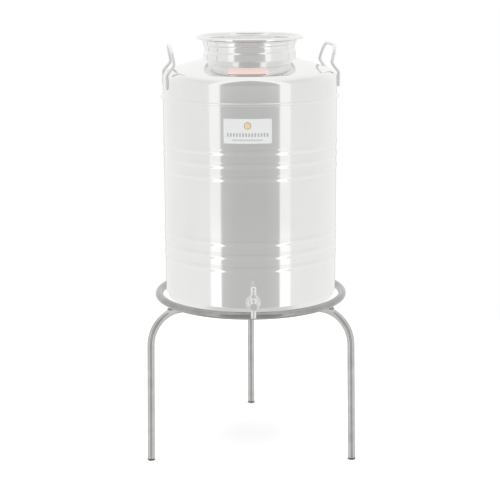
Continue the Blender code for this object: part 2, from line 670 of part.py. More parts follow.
def make_valve(finishes, axis):
    """The plug with its port, its seal, the lever and the lever's cap, all about the plug's axis."""
    chrome = finishes["tap_chrome"]
    groove_low, groove_high = SEAL_GROOVE_Z
    port_top = TAP_Z + TAP_BORE_R
    plug = [
        (0.0, port_top),
        (SPOUT_BORE_R, port_top),
        (SPOUT_BORE_R, PLUG_SEAT_Z + GAP),
        (PLUG_R, PLUG_SEAT_Z + GAP),
        (PLUG_R, groove_low),
        (SEAL_GROOVE_R, groove_low),
        (SEAL_GROOVE_R, groove_high),
        (PLUG_R, groove_high),
        (PLUG_R, COLLAR_TOP_Z - COLLAR_CHAMFER),
        (PLUG_STEM_R, COLLAR_TOP_Z),
        (PLUG_STEM_R, PLUG_STEM_TOP_Z),
        (0.0, PLUG_STEM_TOP_Z),
    ]
    plug_obj = new_object("tap_plug", turned_mesh(plug, False, SMALL_SEGMENTS), chrome, axis)
    port = ring_outline(0.0, SPOUT_BORE_R, PORT_START_OUT, PLUG_R + CUT_MARGIN)
    port_bm = lay_outwards(turned_mesh(port, False, PORT_SEGMENTS, math.pi / PORT_SEGMENTS), TAP_Z)
    bmesh.ops.rotate(port_bm, matrix=Matrix.Rotation(math.pi / 2, 3, "Z"), verts=port_bm.verts)
    cut(plug_obj, port_bm, "tap_port_cutter", axis)

    seal = ring_outline(*SEAL_R, groove_low + GAP, groove_high - GAP)
    seal_bm = turned_mesh(seal, segments=SMALL_SEGMENTS)
    new_object("tap_plug_seal", seal_bm, finishes["seal_rubber"], axis)

    lever_low, lever_high = LEVER_Z
    boss = ring_outline(0.0, LEVER_BOSS_R, lever_low, lever_high)
    lever = new_object("tap_lever", turned_mesh(boss, False, SMALL_SEGMENTS), chrome, axis)
    fuse(lever, lever_arm_mesh((lever_low + lever_high) / 2), "lever_arm", axis)
    stem_hole = ring_outline(0.0, PLUG_STEM_R + GAP, lever_low - CUT_MARGIN, lever_high + CUT_MARGIN)
    cut(lever, turned_mesh(stem_hole, False, SMALL_SEGMENTS), "lever_hole_cutter", axis)

    cap_low = lever_high + GAP
    cap = [
        (0.0, PLUG_STEM_TOP_Z + GAP),
        (PLUG_STEM_R + GAP, PLUG_STEM_TOP_Z + GAP),
        (PLUG_STEM_R + GAP, cap_low),
        (LEVER_CAP_R, cap_low),
    ]
    cap += [(LEVER_CAP_R - inwards, LEVER_CAP_TOP_Z - down) for inwards, down in LEVER_CAP_ROUNDING]
    cap.append((0.0, LEVER_CAP_TOP_Z))
    new_object("tap_lever_cap", turned_mesh(cap, False, SMALL_SEGMENTS), chrome, axis)


def lever_arm_mesh(root_z):
    """The lever's arm: a tapering flat bar that points forward and droops, with a rounded tip."""
    tip_steps = 6
    tip_r = LEVER_TIP_WIDTH / 2
    outline = [(-LEVER_ROOT_WIDTH / 2, 0.0)]
    for step in range(tip_steps + 1):
        angle = math.pi + math.pi * step / tip_steps
        outline.append((tip_r * math.cos(angle), -(LEVER_LENGTH - tip_r) + tip_r * math.sin(angle)))
    outline.append((LEVER_ROOT_WIDTH / 2, 0.0))
    bm = prism_mesh(outline, root_z - LEVER_THICKNESS / 2, root_z + LEVER_THICKNESS / 2)
    for vert in bm.verts:
        vert.co.z += LEVER_DROP * vert.co.y / LEVER_LENGTH
    return bm


def centre_on_floor(axis):
    """Move the whole object so that the middle of its footprint stands on the origin."""
    bpy.context.view_layer.update()
    graph = bpy.context.evaluated_depsgraph_get()
    reach = []
    for obj in bpy.data.objects:
        if obj.type == "MESH" and not obj.hide_render:
            evaluated = obj.evaluated_get(graph)
            reach += [(evaluated.matrix_world @ vert.co).y for vert in evaluated.data.vertices]
    axis.location.y = -(min(reach) + max(reach)) / 2


def main():
    """Build the whole object in an empty scene."""
    clear_scene()
    finishes = make_materials()
    axis = new_empty("drum_axis", (0.0, 0.0, 0.0))
    make_stand(finishes, axis)
    make_drum(finishes, axis)
    for name in HANDLES:
        make_handle(name, finishes, axis)
    make_stickers(finishes, axis)
    make_lid(finishes, axis)
    make_tap(finishes, axis)
    centre_on_floor(axis)


main()
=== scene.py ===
"""Looks of the honey storage drum on its tube stand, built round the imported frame.

Shapes are worked out in millimetres from the drum's vertical axis and from the floor, and turned into the
frame's metres when a mesh is made. +Z is up and the tap points to -Y. Angles that are called turns are
measured about the axis from +X. Distances that are called out run outwards from the axis.
"""

import math

import bmesh
import bpy
from mathutils import Matrix, Vector


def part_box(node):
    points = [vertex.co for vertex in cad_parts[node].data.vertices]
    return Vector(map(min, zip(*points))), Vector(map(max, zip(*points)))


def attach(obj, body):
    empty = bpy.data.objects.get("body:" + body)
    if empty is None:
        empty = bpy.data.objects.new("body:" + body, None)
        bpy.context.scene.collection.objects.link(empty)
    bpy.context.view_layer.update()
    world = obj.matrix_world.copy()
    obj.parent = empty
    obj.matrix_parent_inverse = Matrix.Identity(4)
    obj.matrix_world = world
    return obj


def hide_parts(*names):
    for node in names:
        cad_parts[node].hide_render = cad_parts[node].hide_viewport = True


MM = 0.001

# Camera, in metres
CAMERA_DISTANCE = 2.91966
CAMERA_HEIGHT = 1.09963
CAMERA_PITCH = math.radians(77.205)
CAMERA_ROLL = -0.0046
CAMERA_LENS = 98.54
CAMERA_SHIFT_X = -0.00106

# Meshes
ROUND_STEPS = 192  # round the drum, the lid and the ring
SMALL_STEPS = 48  # round the tap's pieces
TUBE_SIDES = 28
BAR_SIDES = 20
WELD_SIDES = 10
WELD_RIPPLE = 0.14  # depth of a weld's scallops as a share of its radius
FRONT = -math.pi / 2  # turn of the tap's side

# Drum
SHEET = 0.8
WALL_WELD_DEPTH = 0.75  # from the wall's face in to the weld's middle
WALL_WELD_R = 1.0
BEAD_HEIGHT = 1.2
BEAD_REACH = 8.0  # from a bead's middle to its edge
BEAD_FLAT = 1.0
BEADS_ABOVE_FOOT = (82.0, 109.2, 136.4, 271.4, 298.4, 325.4)
PAN_CORNER_R = 175.2
PAN_ROUNDING = 22.5
PAN_SKIRT = 2.6
SEAM_HALF = 2.9
CONE_PLACE = (178.0, 829.0)  # radius and height of a place on the cone
SHOULDER_ROUNDING = 20.0
NECK_BASE_Z = 853.8
NECK_R = 97.4
NECK_WELD_R = 0.9
NECK_STEPS = 34
NECK_WIDENING = 1.0
NECK_WIDENING_Z = (878.0, 887.0)
GROOVE_LEAD = 12.0
GROOVE_FRONT_Z = 877.0
GROOVE_ABOVE = (5.4, 8.6)  # from the groove's middle to the end of its flat and to its edge
GROOVE_BELOW = (4.0, 9.8)
GROOVE_DEPTH = 2.0
GROOVE_FADE = math.radians(32.0)
LIP_ROLL = 1.6
LIP_FLARE = 1.0
LIP_FLARE_HEIGHT = 5.0

# Lid
GASKET_WIDTH = 8.8
LID_WALL_R = 90.5
LID_STEP = 1.2
LID_STEP_R = (0.62 * LID_WALL_R, 0.72 * LID_WALL_R)
LID_CLEARANCE = 0.3

# Handles
HANDLE_BAR_R = 3.5
HANDLE_CLEARANCE = 0.4
HANDLE_HALVES = (57.0, 52.0, 46.0)  # half widths at the feet, the knees and the top
HANDLE_BEND_Z = 826.0
HANDLE_KNEE_Z = 845.0
HANDLE_BENDS = (12.0, 12.0, 24.0, 24.0, 12.0, 12.0)
HANDLE_BEND_STEPS = 14
HANDLE_TIP = ((1.2, 0.62), (0.9, 0.84), (0.4, 0.96), (0.0, 1.0))  # depth below the foot, share of the radius
HANDLE_WELD_RUN = (3.0, 25.0)  # above the bar's end
HANDLE_WELD_R = 0.8
HANDLE_WELD_ACROSS = 1.3
HANDLES = {  # turn in degrees, then the distances of the knees and of the top from the axis
    "right": (11.5, 166.0, 176.5),
    "left": (187.0, 164.0, 170.5),
}

# Stickers
LABEL_DEPTH = 0.25  # from the CAD label's face in to the film's back
LABEL_FILM = 0.2
INK_LIFT = 0.21  # from the film's back to the ink's back
INK = 0.05
INK_STEPS = 60
BAR_INK = 0.04
LABEL_LINES = ((87.0, 17.5, 8.0, 14), (62.0, 7.0, 3.8, 17))  # length, middle above the edge, height, bars
BAR_SHARE = 0.29  # half a bar's width as a share of its place
CELL_ABOVE_EDGE = 36.0
CELL_SIZES = (6.6, 6.8, 8.2)  # fill, then the inside and the outside of the outline
STRIP_R = (128.0, 161.5)
STRIP_HALF_WIDTH = 39.5
STRIP_LIFT = 0.35
STRIP_FILM = 0.25

# Stand
LEG_BEND_R = 70.0
LEG_SPLAY = math.radians(1.1)
LEG_STRAIGHT_STEPS = 6
LEG_BEND_STEPS = 28
FOOT_GAP = 0.2
TUBE_WALL = 1.5
HUB_WALL = 2.0
RING_WELD_REACH = 5.8
RING_WELD_R = 1.9
RING_WELD_CORE_R = 4.6
RING_WELD_STEPS = 64
HUB_WELD_R = 1.3
HUB_WELD_LIFT = 0.8
HUB_WELD_STEPS = 60
BUTT_WELD_R = 0.9
BUTT_WELD_LIFT = 0.05

# Tap
TAP_INNER_OUT = 168.0
TAP_FLANGE_OUT = 187.6
TAP_FLANGE_R = 15.5
TAP_SHANK_R = 6.5
TAP_BORE_R = 4.2
TAP_BODY_R = 8.8
TAP_NECK_R = 7.8
TAP_HOLE_R = 6.8  # hole of the gaskets and the nut
TAP_FRONT = 8.0  # beyond the valve's axis
TAP_WASHERS = {"tap_outer_gasket": (185.3, 187.3, 14.5), "tap_inner_gasket": (180.8, 182.8, 11.0)}
NUT_OUT = (175.5, 180.5)
NUT_R = 11.5
NUT_CHAMFER = 0.8
SPOUT_R = 5.25
SPOUT_BORE_R = 3.5
COLLAR_R = 6.6
COLLAR_TOP_Z = 388.0
PLUG_R = 5.0
PLUG_GROOVE_R = 4.0
STEM_R = 3.0
SEAL_R = 4.6
SEAL_THICKNESS_R = 0.6
LEVER_Z = (COLLAR_TOP_Z + 0.6, COLLAR_TOP_Z + 8.4)
LEVER_BOSS_R = 6.1
LEVER_HOLE_R = 3.3
LEVER_LENGTH = 27.9
LEVER_ROOT = 3.0
LEVER_STEPS = 26
LEVER_DROP = 3.0
LEVER_WIDTH = (4.2, 3.2)  # half widths at the root and at the tip
LEVER_THICKNESS = (1.6, 1.3)  # half of it, at the ends and in the middle
LEVER_TIP = 3.2
CAP_R = 5.9

# Finishes
STEEL = (0.92, 0.92, 0.91)
CHROME = (0.90, 0.90, 0.90)
# The ring's grey is darker than the legs' grey of the same tube: the difference is painted shade for the
# drum's shadow over the ring.
RING_GREY_PAINTED_SHADE = (0.40, 0.405, 0.39)
LEG_GREY = (0.58, 0.58, 0.565)
WHITE = (1.0, 1.0, 1.0, 1.0)

# Surround: brightness by height in degrees. For the opening it goes by the share of the way to its edge.
OPENING_WIDTH = 39.5  # degrees either way
OPENING_HEIGHT = 68.0
OPENING_TONES = ((0.0, 0.515), (0.5, 0.515), (0.83, 0.55), (0.94, 0.57), (1.0, 0.60))
OPENING_LIFT = (
    (-20.0, 1.075), (-12.6, 1.07), (-12.0, 1.025), (-6.4, 1.04), (-5.2, 1.11), (0.0, 1.11), (8.0, 1.0),
)
STRIP_TONES = ((-20.0, 1.15), (-12.6, 1.15), (-12.0, 0.94), (-10.0, 0.95), (-7.0, 1.0))
SIDE_TONES = (
    (-20.0, 0.89), (-15.0, 0.885), (-11.0, 0.86), (-6.0, 0.842), (15.0, 0.84), (37.0, 0.80), (60.0, 0.95),
)
BACK_TONES = ((-4.0, 0.925), (3.0, 0.97), (90.0, 0.97))
GAP_TONES = ((-3.0, 0.64), (0.0, 0.97))
GROUND_TONES = ((-90.0, 0.92), (-76.0, 0.92), (-72.0, 0.68), (-50.0, 0.68))
# Edges between its parts: by height, twice by that share, and twice by bearing
GROUND_EDGE = ((-58.0, 0.0), (-50.0, 1.0))
OPENING_EDGE = ((0.985, 0.0), (1.0, 1.0))
STRIP_EDGE = ((1.36, 0.0), (1.40, 1.0))
BACK_EDGE = ((86.0, 0.0), (150.0, 1.0))
GAP_EDGE = ((162.0, 0.0), (167.0, 1.0))
FLOOR_R = 1.2  # metres
FLOOR_GLOW = 0.17


# Frame

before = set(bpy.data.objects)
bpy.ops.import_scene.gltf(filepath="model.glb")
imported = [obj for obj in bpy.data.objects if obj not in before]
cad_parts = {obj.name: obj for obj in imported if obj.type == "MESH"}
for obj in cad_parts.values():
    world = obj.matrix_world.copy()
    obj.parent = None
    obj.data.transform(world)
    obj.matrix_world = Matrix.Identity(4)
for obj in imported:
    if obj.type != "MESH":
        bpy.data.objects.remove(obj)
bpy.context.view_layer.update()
lid_low, lid_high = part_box("lid_dish")
AXIS = Vector(((lid_low.x + lid_high.x) / 2, (lid_low.y + lid_high.y) / 2, 0.0))


def box(node):
    """A CAD node's lowest and highest corner, in millimetres from the drum's axis and the floor."""
    low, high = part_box(node)
    return (low - AXIS) / MM, (high - AXIS) / MM


def middle(node):
    """The middle of a CAD node's box."""
    low, high = box(node)
    return (low + high) / 2


def half_width(node):
    """Half a CAD node's width, which is the radius of a round one."""
    low, high = box(node)
    return (high.x - low.x) / 2


def turn_of(place):
    """The turn about the axis at which a place lies."""
    return math.atan2(place.y, place.x)


WALL_R = half_width("tank_wall") - BEAD_HEIGHT
CONE_SLOPE = (NECK_BASE_Z - CONE_PLACE[1]) / (CONE_PLACE[0] - NECK_R)
TAP_TURN = turn_of(middle("tap_lever_cap")) - FRONT
VALVE_OUT = middle("tap_lever_cap").xy.length
TAP_Z = middle("tap_outer_gasket").z


def cone_height(radius):
    """The height of the shoulder's cone at a radius."""
    return NECK_BASE_Z - (radius - NECK_R) * CONE_SLOPE


# Mesh tools


def angles(steps):
    """Even steps round a full turn."""
    return [math.tau * step / steps for step in range(steps)]


def polar(radius, turn, height):
    """A place at a distance from the axis and a turn about it."""
    return Vector((radius * math.cos(turn), radius * math.sin(turn), height))


def circle(radius, height, steps=ROUND_STEPS, start=0.0):
    """Points round a level circle about the axis."""
    return [polar(radius, start + angle, height) for angle in angles(steps)]


def skin(bm, rings, closed=False):
    """Faces between rings of vertices that follow each other, and from the last to the first if closed."""
    pairs = list(zip(rings, rings[1:]))
    if closed:
        pairs.append((rings[-1], rings[0]))
    for first, second in pairs:
        for step in range(len(first)):
            after = (step + 1) % len(first)
            bm.faces.new((first[step], first[after], second[after], second[step]))


def arc(before, corner, after, radius, steps, even):
    """The arc that rounds a corner, evenly spaced, or kept short where its neighbours are near."""
    back, ahead = before - corner, after - corner
    half = back.angle(ahead) / 2
    reach = radius / math.tan(half)
    if not even:
        reach = min(reach, 0.49 * back.length, 0.49 * ahead.length)
        radius = reach * math.tan(half)
    back.normalize()
    ahead.normalize()
    centre = corner + (back + ahead).normalized() * (radius / math.sin(half))
    start, end = ((corner + side * reach - centre).normalized() for side in (back, ahead))
    blend = start.slerp if even else start.lerp
    return [centre + blend(end, step / steps).normalized() * radius for step in range(steps + 1)]


def filleted(corners, steps=6):
    """An outline whose (x, y, fillet) corners are rounded by arcs of those radii. Its ends stay sharp."""
    points = [Vector(corners[0][:2])]
    for before, (x, y, fillet), after in zip(corners, corners[1:], corners[2:]):
        corner = Vector((x, y))
        if fillet:
            points += arc(Vector(before[:2]), corner, Vector(after[:2]), fillet, steps, False)
        else:
            points.append(corner)
    return points + [Vector(corners[-1][:2])]


def rounded_path(corners, radii, steps):
    """A line in space whose inner corners are replaced by arcs of the radii given for them."""
    corners = [Vector(corner) for corner in corners]
    points = corners[:1]
    for before, corner, after, radius in zip(corners, corners[1:], corners[2:], radii):
        points += arc(before, corner, after, radius, steps, True)
    return points + corners[-1:]


def sheet_outline(outer):
    """Close the outline of a sheet by coming back along its other side."""
    inner = []
    for index, point in enumerate(outer):
        before = outer[max(index - 1, 0)]
        after = outer[min(index + 1, len(outer) - 1)]
        along = (after - before).normalized()
        inner.append(Vector((point.x - along.y * SHEET, point.y + along.x * SHEET)))
    return list(outer) + inner[::-1]


def revolved(outline, closed=True, steps=ROUND_STEPS, shape=None):
    """Turn an outline of (radius, height) points about Z. shape(turn, radius, height) may change them."""
    bm = bmesh.new()
    count = len(outline)
    rows = []
    for turn in angles(steps):
        row = []
        for radius, height in outline:
            if shape:
                radius, height = shape(turn, radius, height)
            row.append(bm.verts.new(polar(radius, turn, height)))
        rows.append(row)
    last = count if closed else count - 1
    for row, after in zip(rows, rows[1:] + rows[:1]):
        for place in range(last):
            beside = (place + 1) % count
            bm.faces.new((row[place], after[place], after[beside], row[beside]))
    bmesh.ops.remove_doubles(bm, verts=bm.verts, dist=1e-4)
    return bm


def sweep(bm, path, radius, sides=TUBE_SIDES, loop=False, caps=True):
    """A round bar along a path. radius is a number, or a list with one for each point."""
    rings = []
    side = None
    count = len(path)
    length = 0.0
    lengths = []
    for index, point in enumerate(path):
        if index:
            length += (point - path[index - 1]).length
        lengths.append(length)
        before = path[index - 1] if loop or index else point
        after = path[(index + 1) % count] if loop or index < count - 1 else point
        tangent = ((after - point).normalized() + (point - before).normalized()).normalized()
        if side is None:
            side = tangent.orthogonal()
        side = (side - tangent * side.dot(tangent)).normalized()
        across = tangent.cross(side)
        here = radius[index] if isinstance(radius, list) else radius
        ring = []
        for angle in angles(sides):
            ring.append(bm.verts.new(point + (side * math.cos(angle) + across * math.sin(angle)) * here))
        rings.append(ring)
    along = bm.loops.layers.uv.get("along") or bm.loops.layers.uv.new("along")
    pairs = list(zip(range(count - 1), range(1, count)))
    if loop:
        pairs.append((count - 1, 0))
    for first, second in pairs:
        for step in range(sides):
            after = (step + 1) % sides
            face = bm.faces.new(
                (rings[first][step], rings[first][after], rings[second][after], rings[second][step])
            )
            end = lengths[second] if second else lengths[first] + 1.0
            corners = ((lengths[first], step), (lengths[first], step + 1), (end, step + 1), (end, step))
            for corner, (distance, place) in zip(face.loops, corners):
                corner[along].uv = (distance * MM, place / sides)
    if caps and not loop:
        bm.faces.new(rings[0])
        bm.faces.new(rings[-1])
    return bm


def bent_plate(bm, low, high, half, thickness, turn, corner, columns=40, rows=10):
    """A thin plate with rounded corners, wrapped round the axis between two (radius, height) edges.
    thickness is the (radius, height) step from its back to its face."""
    rings = []
    edge_length = math.hypot(high[0] - low[0], high[1] - low[1])
    for row in range(rows + 1):
        share = row / rows
        radius = low[0] + (high[0] - low[0]) * share
        height = low[1] + (high[1] - low[1]) * share
        inset = 0.0
        from_edge = min(share, 1.0 - share) * edge_length
        if from_edge < corner:
            inset = corner - math.sqrt(max(corner**2 - (corner - from_edge) ** 2, 0.0))
        back, face = [], []
        for column in range(columns + 1):
            angle = turn + (half - inset) * (2.0 * column / columns - 1.0) / radius
            for line, lift in ((back, 0.0), (face, 1.0)):
                place = polar(radius + thickness[0] * lift, angle, height + thickness[1] * lift)
                line.append(bm.verts.new(place))
        rings.append(back + face[::-1])
    skin(bm, rings)
    for ring in (rings[0], rings[-1]):
        for column in range(columns):
            bm.faces.new((ring[column], ring[column + 1], ring[-column - 2], ring[-column - 1]))
    return bm


def merge(bm, other):
    """Add another mesh's faces to this one and free it."""
    mesh = bpy.data.meshes.new("merge")
    other.to_mesh(mesh)
    other.free()
    bm.from_mesh(mesh)
    bpy.data.meshes.remove(mesh)
    return bm


def moved(bm, turn=0.0, place=(0.0, 0.0, 0.0)):
    """Shift a mesh and then turn it about the drum's axis."""
    bmesh.ops.translate(bm, vec=place, verts=bm.verts)
    bmesh.ops.rotate(bm, matrix=Matrix.Rotation(turn, 3, "Z"), verts=bm.verts)
    return bm


def laid_outwards(bm):
    """Tip a shape turned about Z so that its axis runs outwards through the tap's flange."""
    bmesh.ops.rotate(bm, matrix=Matrix.Rotation(math.pi / 2, 3, "X"), verts=bm.verts)
    return moved(bm, TAP_TURN, (0.0, 0.0, TAP_Z))


def piece(name, bm, finish, body, replaced=(), sharp=40.0, mirrored=True):
    """Make an object from a mesh in millimetres, in the frame's place, riding on a CAD body. A finish is a
    material and its slot, and the slot is not used here. The stand and the pieces that aren't mirrored don't
    show in bright surfaces."""
    material, slot = finish
    bmesh.ops.recalc_face_normals(bm, faces=bm.faces)
    bmesh.ops.scale(bm, vec=(MM, MM, MM), verts=bm.verts)
    bmesh.ops.translate(bm, vec=AXIS, verts=bm.verts)
    mesh = bpy.data.meshes.new(name)
    bm.to_mesh(mesh)
    bm.free()
    mesh.shade_smooth()
    mesh.set_sharp_from_angle(angle=math.radians(sharp))
    mesh.materials.append(material)
    obj = bpy.data.objects.new(name, mesh)
    bpy.context.scene.collection.objects.link(obj)
    obj.visible_glossy = mirrored and body != "stand"
    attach(obj, body)
    if replaced:
        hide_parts(*replaced)


# Materials


class Graph:
    """A node tree with the few steps that the finishes and the surround share."""

    def __init__(self, owner):
        owner.use_nodes = True
        self.nodes = owner.node_tree.nodes
        self.links = owner.node_tree.links
        self.coordinates = self.nodes.new("ShaderNodeTexCoord")

    def node(self, kind, output, inputs, **settings):
        """A new node's output. The inputs are numbers, colours or other nodes' outputs."""
        node = self.nodes.new("ShaderNode" + kind)
        for name, value in settings.items():
            setattr(node, name, value)
        for name, value in inputs.items():
            if isinstance(value, bpy.types.NodeSocket):
                self.links.new(value, node.inputs[name])
            else:
                node.inputs[name].default_value = value
        return node.outputs[output]

    def math(self, operation, *values):
        """One maths step on values and numbers."""
        return self.node("Math", "Value", dict(enumerate(values)), operation=operation)

    def ranged(self, value, low, high, start=0.3, end=0.7):
        """A value taken from start..end to low..high."""
        limits = {"From Min": start, "From Max": end, "To Min": low, "To Max": high}
        return self.node("MapRange", "Result", {"Value": value, **limits})

    def toned(self, value, stops):
        """A colour from a value by (position, colour) stops."""
        ramp = self.nodes.new("ShaderNodeValToRGB")
        elements = ramp.color_ramp.elements
        while len(elements) < len(stops):
            elements.new(0.5)
        for element, (position, colour) in zip(elements, stops):
            element.position = position
            element.color = (*colour, 1.0)
        self.links.new(value, ramp.inputs["Fac"])
        return ramp.outputs["Color"]


class Finish(Graph):
    """A Principled material under construction, for one of the record's slots."""

    def __init__(self, name, colour, roughness, metallic=0.0, slot=None):
        self.slot = slot or name
        self.material = bpy.data.materials.new(name)
        super().__init__(self.material)
        self.shader = self.nodes["Principled BSDF"]
        constants = {"Base Color": (*colour, 1.0), "Roughness": roughness, "Metallic": metallic}
        for socket, value in constants.items():
            self.shader.inputs[socket].default_value = value

    def noise(self, stretch, detail=3.0, rough=0.5, space="Object"):
        """A noise whose cells are 1/stretch metres in each direction."""
        scale = (stretch,) * 3 if isinstance(stretch, float) else stretch
        place = self.node("Mapping", "Vector", {"Vector": self.coordinates.outputs[space], "Scale": scale})
        texture = {"Vector": place, "Scale": 1.0, "Detail": detail, "Roughness": rough}
        return self.node("TexNoise", "Fac", texture)

    def bump(self, height, distance):
        """A relief of that depth in metres."""
        return self.node("Bump", "Normal", {"Height": height, "Distance": distance})

    def surface(self, value, stops, roughness, relief):
        """Feed the shader a colour by a value's stops, a roughness and a relief, and give the finish."""
        feeds = {"Base Color": self.toned(value, stops), "Roughness": roughness, "Normal": relief}
        for socket, feed in feeds.items():
            self.links.new(feed, self.shader.inputs[socket])
        return self.material, self.slot


def scaled(colour, factor):
    """A colour made lighter or darker."""
    return tuple(factor * value for value in colour)


def polished_steel():
    """Bright rolled sheet: fine rolling lines round the drum, faint handling marks and a slow ripple."""
    finish = Finish("polished_steel", STEEL, 0.1, 1.0)
    lines = finish.noise((5.0, 5.0, 1400.0), 2.0)
    marks = finish.noise((14.0, 14.0, 9.0), 5.0, 0.6)
    ripple = finish.noise((9.0, 9.0, 5.0), 1.0)
    roughness = finish.math("ADD", finish.ranged(marks, 0.055, 0.1), finish.ranged(lines, 0.0, 0.03))
    relief = {"Height": ripple, "Distance": 8e-5, "Normal": finish.bump(lines, 1.5e-6)}
    stops = ((0.35, scaled(STEEL, 0.975)), (0.65, STEEL))
    return finish.surface(marks, stops, roughness, finish.node("Bump", "Normal", relief))


def bright_bar():
    """Bent round bar: polished, with drawing lines and small scuffs."""
    finish = Finish("bright_bar", STEEL, 0.42, 0.87, "polished_steel")
    lines = finish.noise((30.0, 900.0, 1.0), 2.0, space="UV")
    scuffs = finish.noise((160.0, 160.0, 120.0), 4.0, 0.7)
    roughness = finish.math("ADD", finish.ranged(scuffs, 0.38, 0.46), finish.ranged(lines, 0.0, 0.05))
    stops = ((0.35, scaled(STEEL, 0.92)), (0.6, STEEL))
    return finish.surface(scuffs, stops, roughness, finish.bump(scuffs, 1.5e-5))


def satin_tube(name, base):
    """Drawn tube with a satin grey surface: streaks along it, blotches and fine grain."""
    finish = Finish(name, base, 0.14, 0.97, "satin_tube")
    streaks = finish.noise((14.0, 26.0, 1.0), space="UV")
    blotches = finish.noise((38.0, 38.0, 30.0), 4.0, 0.6)
    grain = finish.noise(2600.0, 2.0)
    roughness = finish.math("ADD", finish.ranged(streaks, 0.10, 0.15), finish.ranged(blotches, 0.0, 0.04))
    stops = ((0.3, scaled(base, 0.88)), (0.52, base), (0.72, scaled(base, 1.10)))
    return finish.surface(blotches, stops, roughness, finish.bump(grain, 1.2e-5))


def weld_metal(name, slot, base, metallic, cells, tones, roughness, depth):
    """Cleaned weld metal with blotches of two tones. cells are a noise's stretch, detail and roughness."""
    finish = Finish(name, base, 0.4, metallic, slot)
    blotches = finish.noise(*cells)
    stops = tuple(zip((0.35, 0.65), tones))
    return finish.surface(blotches, stops, finish.ranged(blotches, *roughness), finish.bump(blotches, depth))


def chrome():
    """Plated brass: bright, with a faint cast texture under the plating and a few dull spots."""
    finish = Finish("tap_chrome", CHROME, 0.16, 1.0)
    cast = finish.noise(420.0, 2.0)
    spots = finish.noise(130.0, 4.0, 0.6)
    stops = ((0.3, (0.83, 0.83, 0.82)), (0.6, CHROME))
    return finish.surface(spots, stops, finish.ranged(spots, 0.12, 0.24), finish.bump(cast, 6e-5))


def moulded(name, colour, roughness, grain_depth):
    """Moulded plastic or rubber: a fine skin grain and slight rubbing where it is handled."""
    finish = Finish(name, colour, roughness)
    grain = finish.noise(2400.0, 2.0)
    wear = finish.noise(90.0, 5.0, 0.6)
    stops = ((0.4, colour), (0.75, tuple(min(1.0, value * 1.35 + 0.01) for value in colour)))
    uneven = finish.ranged(wear, roughness - 0.08, roughness + 0.08)
    return finish.surface(wear, stops, uneven, finish.bump(grain, grain_depth))


def film(name, colour, pale, roughness, slot="label_film"):
    """Printed film: slightly uneven ink, a soft satin face and small bubbles under it."""
    finish = Finish(name, colour, roughness, slot=slot)
    ink = finish.noise((220.0, 220.0, 320.0), 5.0, 0.7)
    bubbles = finish.noise(36.0, 1.0)
    uneven = finish.ranged(ink, roughness - 0.05, roughness + 0.06)
    return finish.surface(ink, ((0.35, pale), (0.65, colour)), uneven, finish.bump(bubbles, 6e-5))


# Stand


def weld_bead(bm, path, radius, ripples, loop=False):
    """A run of weld: a bar along the path with the overlapping scallops that a torch leaves."""
    waves = ripples * math.pi / (len(path) - 1)
    ripple = [1.0 - WELD_RIPPLE + WELD_RIPPLE * abs(math.sin(index * waves)) for index in range(len(path))]
    radii = [radius * share for share in ripple]
    return sweep(bm, path, radii, WELD_SIDES, loop)


def make_ring(tube, weld):
    """The rolled ring, closed by a ground butt weld at the back."""
    low, high = box("stand_ring")
    tube_r = (high.z - low.z) / 2
    ring_r = half_width("stand_ring") - tube_r
    ring_z = middle("stand_ring").z
    ring = sweep(bmesh.new(), circle(ring_r, ring_z, start=-FRONT), tube_r, loop=True)
    piece("stand_ring_tube", ring, tube, "stand", ["stand_ring"])

    seat_r = tube_r + BUTT_WELD_LIFT
    around = []
    for angle in angles(SMALL_STEPS):
        around.append(Vector((0.0, ring_r + seat_r * math.cos(angle), ring_z + seat_r * math.sin(angle))))
    joint = weld_bead(bmesh.new(), around, BUTT_WELD_R, 30, loop=True)
    piece("stand_ring_butt_weld", joint, weld, "stand")
    return tube_r, ring_r, ring_z


def leg_path(turn, foot_r, foot_z, top_z, hub_r):
    """A leg's centre line from its foot, over one large bend and in to the hub, and the bend's centre."""
    bend_z = top_z - LEG_BEND_R
    rise = bend_z + LEG_BEND_R * math.sin(LEG_SPLAY) - foot_z
    bend_r = foot_r - rise * math.tan(LEG_SPLAY) - LEG_BEND_R * math.cos(LEG_SPLAY)
    lean = bend_r + LEG_BEND_R * math.cos(LEG_SPLAY) - foot_r
    line = []
    for step in range(LEG_STRAIGHT_STEPS):
        share = step / LEG_STRAIGHT_STEPS
        line.append((foot_r + lean * share, foot_z + rise * share))
    for step in range(LEG_BEND_STEPS + 1):
        angle = LEG_SPLAY + (math.pi / 2 - LEG_SPLAY) * step / LEG_BEND_STEPS
        line.append((bend_r + LEG_BEND_R * math.cos(angle), bend_z + LEG_BEND_R * math.sin(angle)))
    line += [((bend_r + hub_r) / 2, top_z), (hub_r, top_z)]
    return [polar(out, turn, height) for out, height in line], bend_r, bend_z


def ring_weld(turn, bend_r, bend_z, ring, weld, side):
    """The fillet weld in the crease where the ring lies across a leg's bend."""
    tube_r, ring_r, ring_z = ring
    up = Vector((ring_r - bend_r, 0.0, ring_z - bend_z)).normalized()
    contact = Vector((bend_r, 0.0, bend_z)) + up * (LEG_BEND_R + tube_r)
    across = Vector((0.0, 1.0, 0.0)) * RING_WELD_REACH
    along = across.cross(up)
    path = []
    for angle in angles(RING_WELD_STEPS):
        lift = -math.cos(2 * angle) * RING_WELD_REACH**2 / (4 * tube_r)
        path.append(contact + across * math.cos(angle) + along * math.sin(angle) + up * lift)
    bead = weld_bead(bmesh.new(), path, RING_WELD_R, 22, loop=True)
    core = [contact + up * depth for depth in (-0.8, -0.4, 0.0, 0.4, 0.8)]
    sweep(bead, core, RING_WELD_CORE_R, 16)
    piece("ring_fillet_" + side, moved(bead, turn), weld, "stand", ["ring_weld_" + side])


